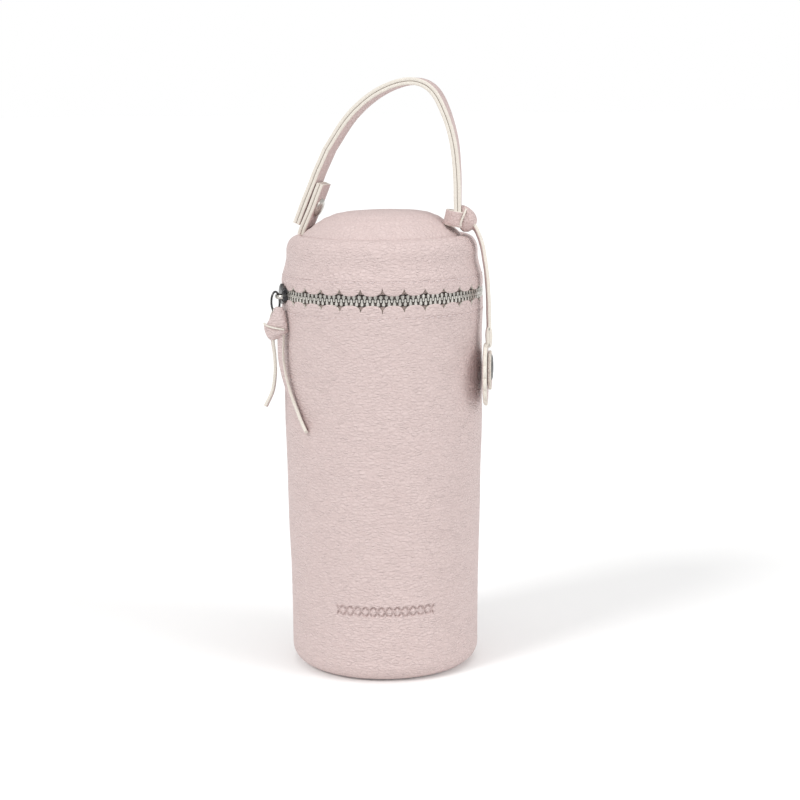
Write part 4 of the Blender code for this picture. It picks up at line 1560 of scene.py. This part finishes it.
@dataclass
class Charm:
    """The charm: a strip from the knot, folded at its end, with two leather discs and a metal rivet."""

    wardrobe: Wardrobe
    facing: float = 84.5
    dish: float = 0.9 * MM
    strip_path: Marks = ((41.6, -13.0, 206.4), (44.4, -14.0, 203.8), (46.7, -15.3, 198.0),
                         (48.3, -16.5, 190.0), (49.6, -17.7, 178.5), (50.0, -18.4, 168.1),
                         (50.2, -18.8, 157.0))
    disc_rise: Vector = field(default_factory=lambda: Vector((0, 0, 1.2 * MM)))

    def build(self) -> None:
        """Build the strip, the fold, the discs and the rivet."""
        looks = self.wardrobe
        path = smooth_path([raised(point) for point in self.strip_path], 10)
        facing = Vector((1.0, 0.1, 0.1))

        def across(index: int) -> Vector:
            """The width's direction, square to the path."""
            ahead = path[min(index + 1, len(path) - 1)] - path[max(index - 1, 0)]
            return ahead.cross(facing).normalized()

        strip = Strip(5.6 * MM, 1.5 * MM).along("charm_leather_strip", path, across,
                                                [looks.strap, looks.edge], wobble=0.15 * MM)
        dress(strip, "charm", Slot.STRAP, "charm_strip")
        self.build_fold()
        self.build_discs()
        LOG.info("charm built")

    def build_fold(self) -> None:
        """The strip's end, folded back on itself."""
        looks = self.wardrobe
        middle = middle_of("charm_fold")
        path = []
        for a in steps(-90.0, 270.0, 40)[:-1]:
            turn = math.radians(a)
            path.append(middle + Vector((0.7 * MM * math.cos(turn), 0.0, 4.2 * MM * math.sin(turn))))
        fold = leather_ring("charm_folded_end", path, Vector((0, 1, 0)), 6.2 * MM, 1.6 * MM,
                            [looks.strap, looks.edge])
        dress(fold, "charm", Slot.STRAP, "charm_fold")

    def disc(self, name: str, node: str, lobes: int, depth: float, thick: float, finishes: list[Finish],
             slot: Slot) -> None:
        """A leather disc whose edge is cut in round lobes.

        Args:
            name: the piece's name.
            node: the CAD node that it stands for.
            lobes: how many lobes its edge has.
            depth: how deep the cuts between lobes are.
            thick: its thickness.
            finishes: its face's and its edge's materials.
            slot: the record's slot.
        """
        low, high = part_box(node)
        middle, radius = middle_of(node) + self.disc_rise, (high.z - low.z) / 2 * 1.05
        out_way, along = outward(self.facing), outward(self.facing + 90.0)
        half = thick / 2
        rim = [(0.0, half + 0.25 * MM), (0.35, half + 0.22 * MM), (0.7, half + 0.1 * MM), (0.93, half),
               (1.0, half - 0.35 * MM), (1.0, -half + 0.35 * MM), (0.93, -half), (0.7, -half), (0.35, -half),
               (0.0, -half)]
        sections = []
        for degrees in steps(0.0, 360.0, 144)[:-1]:
            turn = math.radians(degrees)
            wave = depth * (1.0 - abs(math.cos(turn * lobes / 2)) ** 0.7)
            section = []
            for share, out in rim:
                reach = share * (radius - wave * share ** 4)
                rise = Vector((0.0, 0.0, reach * math.cos(turn)))
                level = out_way * (out - self.dish * (1.0 - share * share))
                section.append(middle + level + along * reach * math.sin(turn) + rise)
            sections.append(section)
        sides = [0, 0, 0, 1, 1, 1, 0, 0, 0, 0]
        piece = joined(loft(name, sections, finishes, sides, ring=True, crease=50.0))
        dress(piece, "charm", slot, node)

    def build_discs(self) -> None:
        """The large scalloped disc, the small one and the rivet through both."""
        looks = self.wardrobe
        self.disc("charm_scalloped_disc", "charm_large_disc", 14, 1.5 * MM, 2.0 * MM,
                  [looks.skin, looks.edge], Slot.LEATHERETTE)
        self.disc("charm_inner_disc", "charm_small_disc", 10, 0.8 * MM, 1.7 * MM,
                  [looks.strap, looks.edge], Slot.STRAP)
        low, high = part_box("charm_rivet")
        middle = middle_of("charm_rivet") + self.disc_rise + Vector((-self.dish, 0, 0))
        radius, rise = (high.z - low.z) / 2, 1.4 * MM
        profile = [(0.0, -rise / 2), (radius, -rise / 2), (radius * 1.01, -rise / 2 + 0.5 * MM),
                   (radius * 0.93, rise * 0.1), (radius * 0.8, rise * 0.28), (radius * 0.74, rise * 0.16),
                   (radius * 0.66, rise * 0.2), (radius * 0.4, rise * 0.42), (0.0, rise * 0.5)]
        rivet = lathe("charm_rivet_dome", profile, [looks.dark_metal], 64)
        moved(rivet, standing(middle, outward(self.facing)))
        dress(rivet, "charm", Slot.DARK_NICKEL, "charm_rivet")


# ---------------------------------------------------------------- the slider and its pull


@dataclass
class Slider:
    """The zip's slider with its bail and ring."""

    wardrobe: Wardrobe
    zip_line: ZipLine

    def place(self, along: float, out: float, up: float) -> Vector:
        """A place near the slider: along the chain, out from the zip's radius, and up from its middle."""
        line = self.zip_line
        tangent = outward(line.slider_angle + 90.0)
        return polar(line.radius + out, line.slider_angle, line.height + up) + tangent * along

    def build(self) -> None:
        """Build the slider's plate, the bail and the ring."""
        self.build_plate()
        self.build_bail()
        self.build_ring()
        LOG.info("slider built")

    def build_plate(self) -> None:
        """The shield-shaped plate with flanges that curl round the chain."""
        half, low = 4.9 * MM, 0.35 * MM
        sections = []
        for share in steps(0.0, 1.0, 28):
            along = (share - 0.5) * 2 * half
            round_end = math.sqrt(max(0.0, 1.0 - abs(2 * share - 1.0) ** 5))
            tall = (4.9 - 1.3 * eased(share, 0.25, 0.8)) * MM * (0.45 + 0.55 * round_end)
            crown = 1.15 * MM + 0.35 * MM * round_end
            section = []
            for a in steps(-1.0, 1.0, 12):
                section.append(self.place(along, low + crown * (1.0 - 0.55 * abs(a) ** 3), a * tall))
            section += [self.place(along, -1.2 * MM, tall), self.place(along, -1.2 * MM, tall - 0.7 * MM),
                        self.place(along, low, tall - 0.8 * MM), self.place(along, low, -tall + 0.8 * MM),
                        self.place(along, -1.2 * MM, -tall + 0.7 * MM), self.place(along, -1.2 * MM, -tall)]
            sections.append(section)
        # the plate's near-black colour is painted reflection on nickel
        plate = loft("slider_plate", sections, [self.wardrobe.slider_metal_painted_dark], crease=45.0)
        dress(plate, "slider", Slot.NICKEL, "slider_body")

    def build_bail(self) -> None:
        """The bail that the ring hangs in."""
        up = middle_of("slider_bail").z - self.zip_line.height
        path = [self.place(3.5 * MM * math.cos(a), 1.2 * MM + 2.75 * MM * math.sin(a), up)
                for a in steps(-0.15, math.pi + 0.15, 26)]
        bail = wire("slider_bail_arch", path, 0.55 * MM, self.wardrobe.nickel, flat=1.8)
        dress(bail, "slider", Slot.NICKEL, "slider_bail")

    def build_ring(self) -> None:
        """The oval ring through the bail."""
        path = []
        for a in round_turns(56):
            path.append(self.place(0.0, 4.3 * MM + 2.0 * MM * math.cos(a),
                                   -3.6 * MM + 4.9 * MM * math.sin(a)))
        along = outward(self.zip_line.slider_angle + 90.0)
        # the ring's near-black colour is painted reflection on nickel
        ring = wire("puller_ring_wire", path, 0.52 * MM, self.wardrobe.slider_metal_painted_dark, ring=True, across=along)
        dress(ring, "puller", Slot.NICKEL, "puller_ring")


@dataclass
class Pull:
    """The leather pull: a strip through the ring, its knot, and two tails."""

    wardrobe: Wardrobe
    zip_line: ZipLine
    reach: float = 4.4 * MM
    # the loop's middle line, along the chain and up
    loop: Marks = ((-1.9, 161.6), (-1.9, 164.6), (-1.4, 166.2), (0.0, 167.1), (1.4, 166.2), (1.9, 164.6),
                   (1.9, 161.6))
    short_tail: Marks = ((-51.9, -15.2, 157.5), (-52.3, -14.6, 152.4), (-51.5, -14.1, 144.0),
                         (-51.5, -14.1, 136.4), (-52.8, -14.7, 128.0), (-56.2, -15.4, 120.6))
    long_tail: Marks = ((-48.2, -18.4, 158.5), (-48.2, -18.2, 153.0), (-48.0, -18.3, 142.5),
                        (-45.1, -22.5, 130.5), (-40.8, -28.3, 120.0), (-36.3, -33.6, 111.2))
    # height, middle, half width and half depth of the knot's flare
    flare: Marks = ((168.4, 2.0, 1.9, 1.2), (166.5, 2.0, 2.9, 1.7), (163.5, 1.5, 4.3, 2.2),
                    (160.6, 0.8, 5.6, 2.5), (158.8, 0.3, 6.3, 2.6), (157.4, 0.2, 5.9, 2.2),
                    (156.8, 0.2, 4.5, 1.4))
    # width, height, half height and half depth of the fold across the flare
    fold: Marks = ((-7.0, 159.2, 0.5, 0.5), (-5.5, 157.7, 2.3, 1.9), (-3.2, 156.0, 3.5, 2.8),
                   (-0.4, 155.8, 3.1, 3.1), (2.2, 156.4, 2.2, 3.0), (4.6, 157.0, 1.5, 2.6),
                   (6.3, 157.4, 0.8, 1.5))
    rim: Marks = ((-6.4, 1.0, 160.2), (-3.4, 2.9, 159.6), (0.0, 3.3, 159.0), (3.2, 3.1, 158.6),
                  (6.2, 1.7, 158.1))
    knot_wide: Vector = field(default_factory=lambda: Vector((0.82, -0.57, 0.0)))
    knot_deep: Vector = field(default_factory=lambda: Vector((-0.57, -0.82, 0.0)))
    knot_middle: Vector = field(default_factory=lambda: Vector((-50.5 * MM, -16.6 * MM, RISE)))

    def spot(self, out: float, along: float, height: float) -> Vector:
        """A place near the pull: out from where it hangs, along the chain, at a height."""
        line = self.zip_line
        tangent = outward(line.slider_angle + 90.0)
        return polar(line.radius + self.reach + out, line.slider_angle, height + RISE) + tangent * along

    def build(self) -> None:
        """Build the loop, the knot and the tails."""
        looks = self.wardrobe
        out = outward(self.zip_line.slider_angle)
        path = smooth_path([self.spot(0.0, along * MM, up * MM) for along, up in self.loop], 8)

        def wider(share: float) -> float:
            """The strip spreads from the ring towards the knot."""
            return 1.0 + 0.9 * eased(abs(share - 0.5) * 2.0, 0.35, 1.0)

        strip = Strip(2.7 * MM, 0.85 * MM, 0.2 * MM).along("pull_loop_strip", path, lambda i: out,
                                                           [looks.skin, looks.edge], taper=wider)
        dress(strip, "pull", Slot.LEATHERETTE, "pull_loop")
        self.build_knot()
        tails = (("pull_short_tail", self.short_tail, "pull_tail_short", Vector((-1.0, -0.3, 0.0)), 0.5),
                 ("pull_long_tail", self.long_tail, "pull_tail_long", Vector((-0.36, -0.93, 0.0)), 1.2))
        for name, points, node, facing, twist in tails:
            self.build_tail(name, points, node, facing, twist)
        LOG.info("zip pull built")

    def build_tail(self, name: str, points: Marks, node: str, facing: Vector,
                   twist: float) -> None:
        """One tail of the pull.

        Args:
            name: the piece's name.
            points: the tail's middle line in millimetres.
            node: the CAD node that it stands for.
            facing: where its broad side faces at the top.
            twist: how far it turns down to its end, in radians.
        """
        looks = self.wardrobe
        path = smooth_path([raised(point) for point in points], 10)

        def across(index: int) -> Vector:
            """The width's direction, with a slight twist down the tail."""
            ahead = (path[min(index + 1, len(path) - 1)] - path[max(index - 1, 0)]).normalized()
            side = ahead.cross(facing).normalized()
            return Matrix.Rotation(twist * index / len(path), 3, ahead) @ side

        tail = Strip(3.6 * MM, 1.5 * MM, 0.25 * MM).along(name, path, across, [looks.skin, looks.edge],
                                                          wobble=0.12 * MM)
        dress(tail, "pull", Slot.STRAP, node)

    def build_knot(self) -> None:
        """The knot: a flared fold of leather, a second fold across it, and the fold's cut edge."""
        looks = self.wardrobe
        sections = [[self.knot_spot(middle + self.rounded(math.cos(a)) * wide, math.sin(a) * deep, height)
                     for a in round_turns(48)] for height, middle, wide, deep in self.flare]
        part = loft("pull_knot_flare", refined(sections, 4), [looks.skin], crease=60.0)
        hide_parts("pull_knot")
        sections = [[self.knot_spot(wide, math.sin(a) * deep, height + self.rounded(math.cos(a)) * tall)
                     for a in round_turns(48)] for wide, height, tall, deep in self.fold]
        parts = [part, loft("pull_knot_fold", refined(sections, 4), [looks.skin], crease=60.0)]
        rim = smooth_path([self.knot_spot(*place) for place in self.rim], 6)
        edge = Strip(0.9 * MM, 0.7 * MM, 0.12 * MM).along("pull_knot_edge", rim, lambda i: self.knot_deep,
                                                          [looks.edge, looks.edge])
        for part in (*parts, edge):
            dress(part, "pull", Slot.LEATHERETTE)

    def knot_spot(self, wide: float, deep: float, height: float) -> Vector:
        """A place of the knot, in millimetres across it, out of it and up."""
        level = self.knot_wide * wide + self.knot_deep * deep
        return self.knot_middle + (level + Vector((0, 0, height))) * MM

    def rounded(self, share: float) -> float:
        """A share of a section's half width that makes the section squarer."""
        return math.copysign(abs(share) ** 0.8, share)


def refined(sections: Sequence[Sequence[Vector]], per_span: int) -> list[list[Vector]]:
    """Sections with smooth ones put in between.

    Args:
        sections: the sections, with as many points each.
        per_span: how many steps there are between two of them.

    Returns:
        The finer row of sections.
    """
    lines = [smooth_path([section[i] for section in sections], per_span) for i in range(len(sections[0]))]
    return [list(row) for row in zip(*lines)]


# ---------------------------------------------------------------- the studio


@dataclass
class Studio:
    """White floor, soft lights and the camera."""

    distance: float = 0.84
    eye: float = 0.2694
    pitch: float = 9.5
    focal: float = 78.75
    shift: float = 0.0208
    roll: float = -0.55

    def build(self) -> None:
        """Build the floor, the world, the lights and the camera."""
        self.build_floor()
        self.build_world()
        self.sun("key", Vector((-0.9, -0.8, 0.95)), 18.0, 1.25)
        self.sun("fill", Vector((1.0, -0.6, 0.6)), 30.0, 0.9)
        self.sun("top", Vector((0.1, -0.15, 1.0)), 40.0, 0.55)
        self.build_camera()
        bpy.context.scene.view_settings.view_transform = "Standard"

    def build_floor(self) -> None:
        """A wide, pale floor that isn't part of the case."""
        half = 60.0
        corners = ((-half, -half), (half, -half), (half, half), (-half, half))
        points = [Vector((x, y, 0.0)) for x, y in corners]
        desk = NodeDesk("studio_floor")
        broad = desk.cloud(desk.place, 3.0, 2.0).outputs["Fac"]
        desk.colour(desk.blend(desk.ramp(broad, 0.3, 0.7), (0.90, 0.90, 0.90), (0.915, 0.915, 0.91)))
        desk.shader.inputs["Roughness"].default_value = 0.9
        desk.shader.inputs["Emission Color"].default_value = (1.0, 1.0, 1.0, 1.0)
        desk.shader.inputs["Emission Strength"].default_value = 0.06
        floor = new_piece("studio_floor", points, [[0, 1, 2, 3]], [desk.material])

    def build_world(self) -> None:
        """An even white surround."""
        world = bpy.data.worlds.new("studio_white")
        world.use_nodes = True
        tree = world.node_tree
        back = tree.nodes["Background"]
        back.inputs["Color"].default_value = (1.0, 1.0, 1.0, 1.0)
        # the surround is seen as white and lights the case a little less than that
        seen = tree.nodes.new("ShaderNodeLightPath")
        level = tree.nodes.new("ShaderNodeMapRange")
        level.inputs["To Min"].default_value = 0.62
        tree.links.new(seen.outputs["Is Camera Ray"], level.inputs["Value"])
        tree.links.new(level.outputs["Result"], back.inputs["Strength"])
        bpy.context.scene.world = world

    def sun(self, name: str, toward: Vector, spread: float, power: float) -> None:
        """A far soft light.

        Args:
            name: the light's name.
            toward: the way towards the light.
            spread: how wide it looks from the case, in degrees.
            power: its strength.
        """
        data = bpy.data.lights.new(name, "SUN")
        data.angle = math.radians(spread)
        data.energy = power
        lamp = bpy.data.objects.new(name, data)
        lamp.location = toward * 2.0
        lamp.rotation_euler = (-toward).to_track_quat("-Z", "Y").to_euler()
        bpy.context.scene.collection.objects.link(lamp)

    def build_camera(self) -> None:
        """The camera in front of the case, a little above it."""
        data = bpy.data.cameras.new("camera")
        data.lens = self.focal
        data.sensor_width = 36.0
        data.shift_x = self.shift
        camera = bpy.data.objects.new("camera", data)
        camera.location = (0.0, -self.distance, self.eye)
        tilt = Matrix.Rotation(math.radians(90.0 - self.pitch), 4, "X")
        roll = Matrix.Rotation(math.radians(self.roll), 4, "Z")
        camera.rotation_euler = (tilt @ roll).to_euler()
        bpy.context.scene.collection.objects.link(camera)
        bpy.context.scene.camera = camera


def main() -> None:
    """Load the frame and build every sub-assembly."""
    logging.basicConfig(level=logging.INFO, format="%(name)s: %(message)s")
    FRAME.update(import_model())
    Studio().build()

    wardrobe = Wardrobe()
    low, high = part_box("lower_scallop_trim")
    teeth_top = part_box("lower_zip_teeth")[1].z
    zip_line = ZipLine(height=teeth_top + 0.3 * MM, radius=(high.x - low.x) / 2)
    stitching = Stitching(wardrobe.thread)
    CaseBody(wardrobe, zip_line, stitching).build()
    ZipChain(wardrobe, zip_line).build()
    Lid(wardrobe, zip_line, stitching).build()
    Hinge(wardrobe, zip_line, stitching).build()
    Handle(wardrobe).build()
    Charm(wardrobe).build()
    Slider(wardrobe, zip_line).build()
    Pull(wardrobe, zip_line).build()


if __name__ == "__main__":
    main()
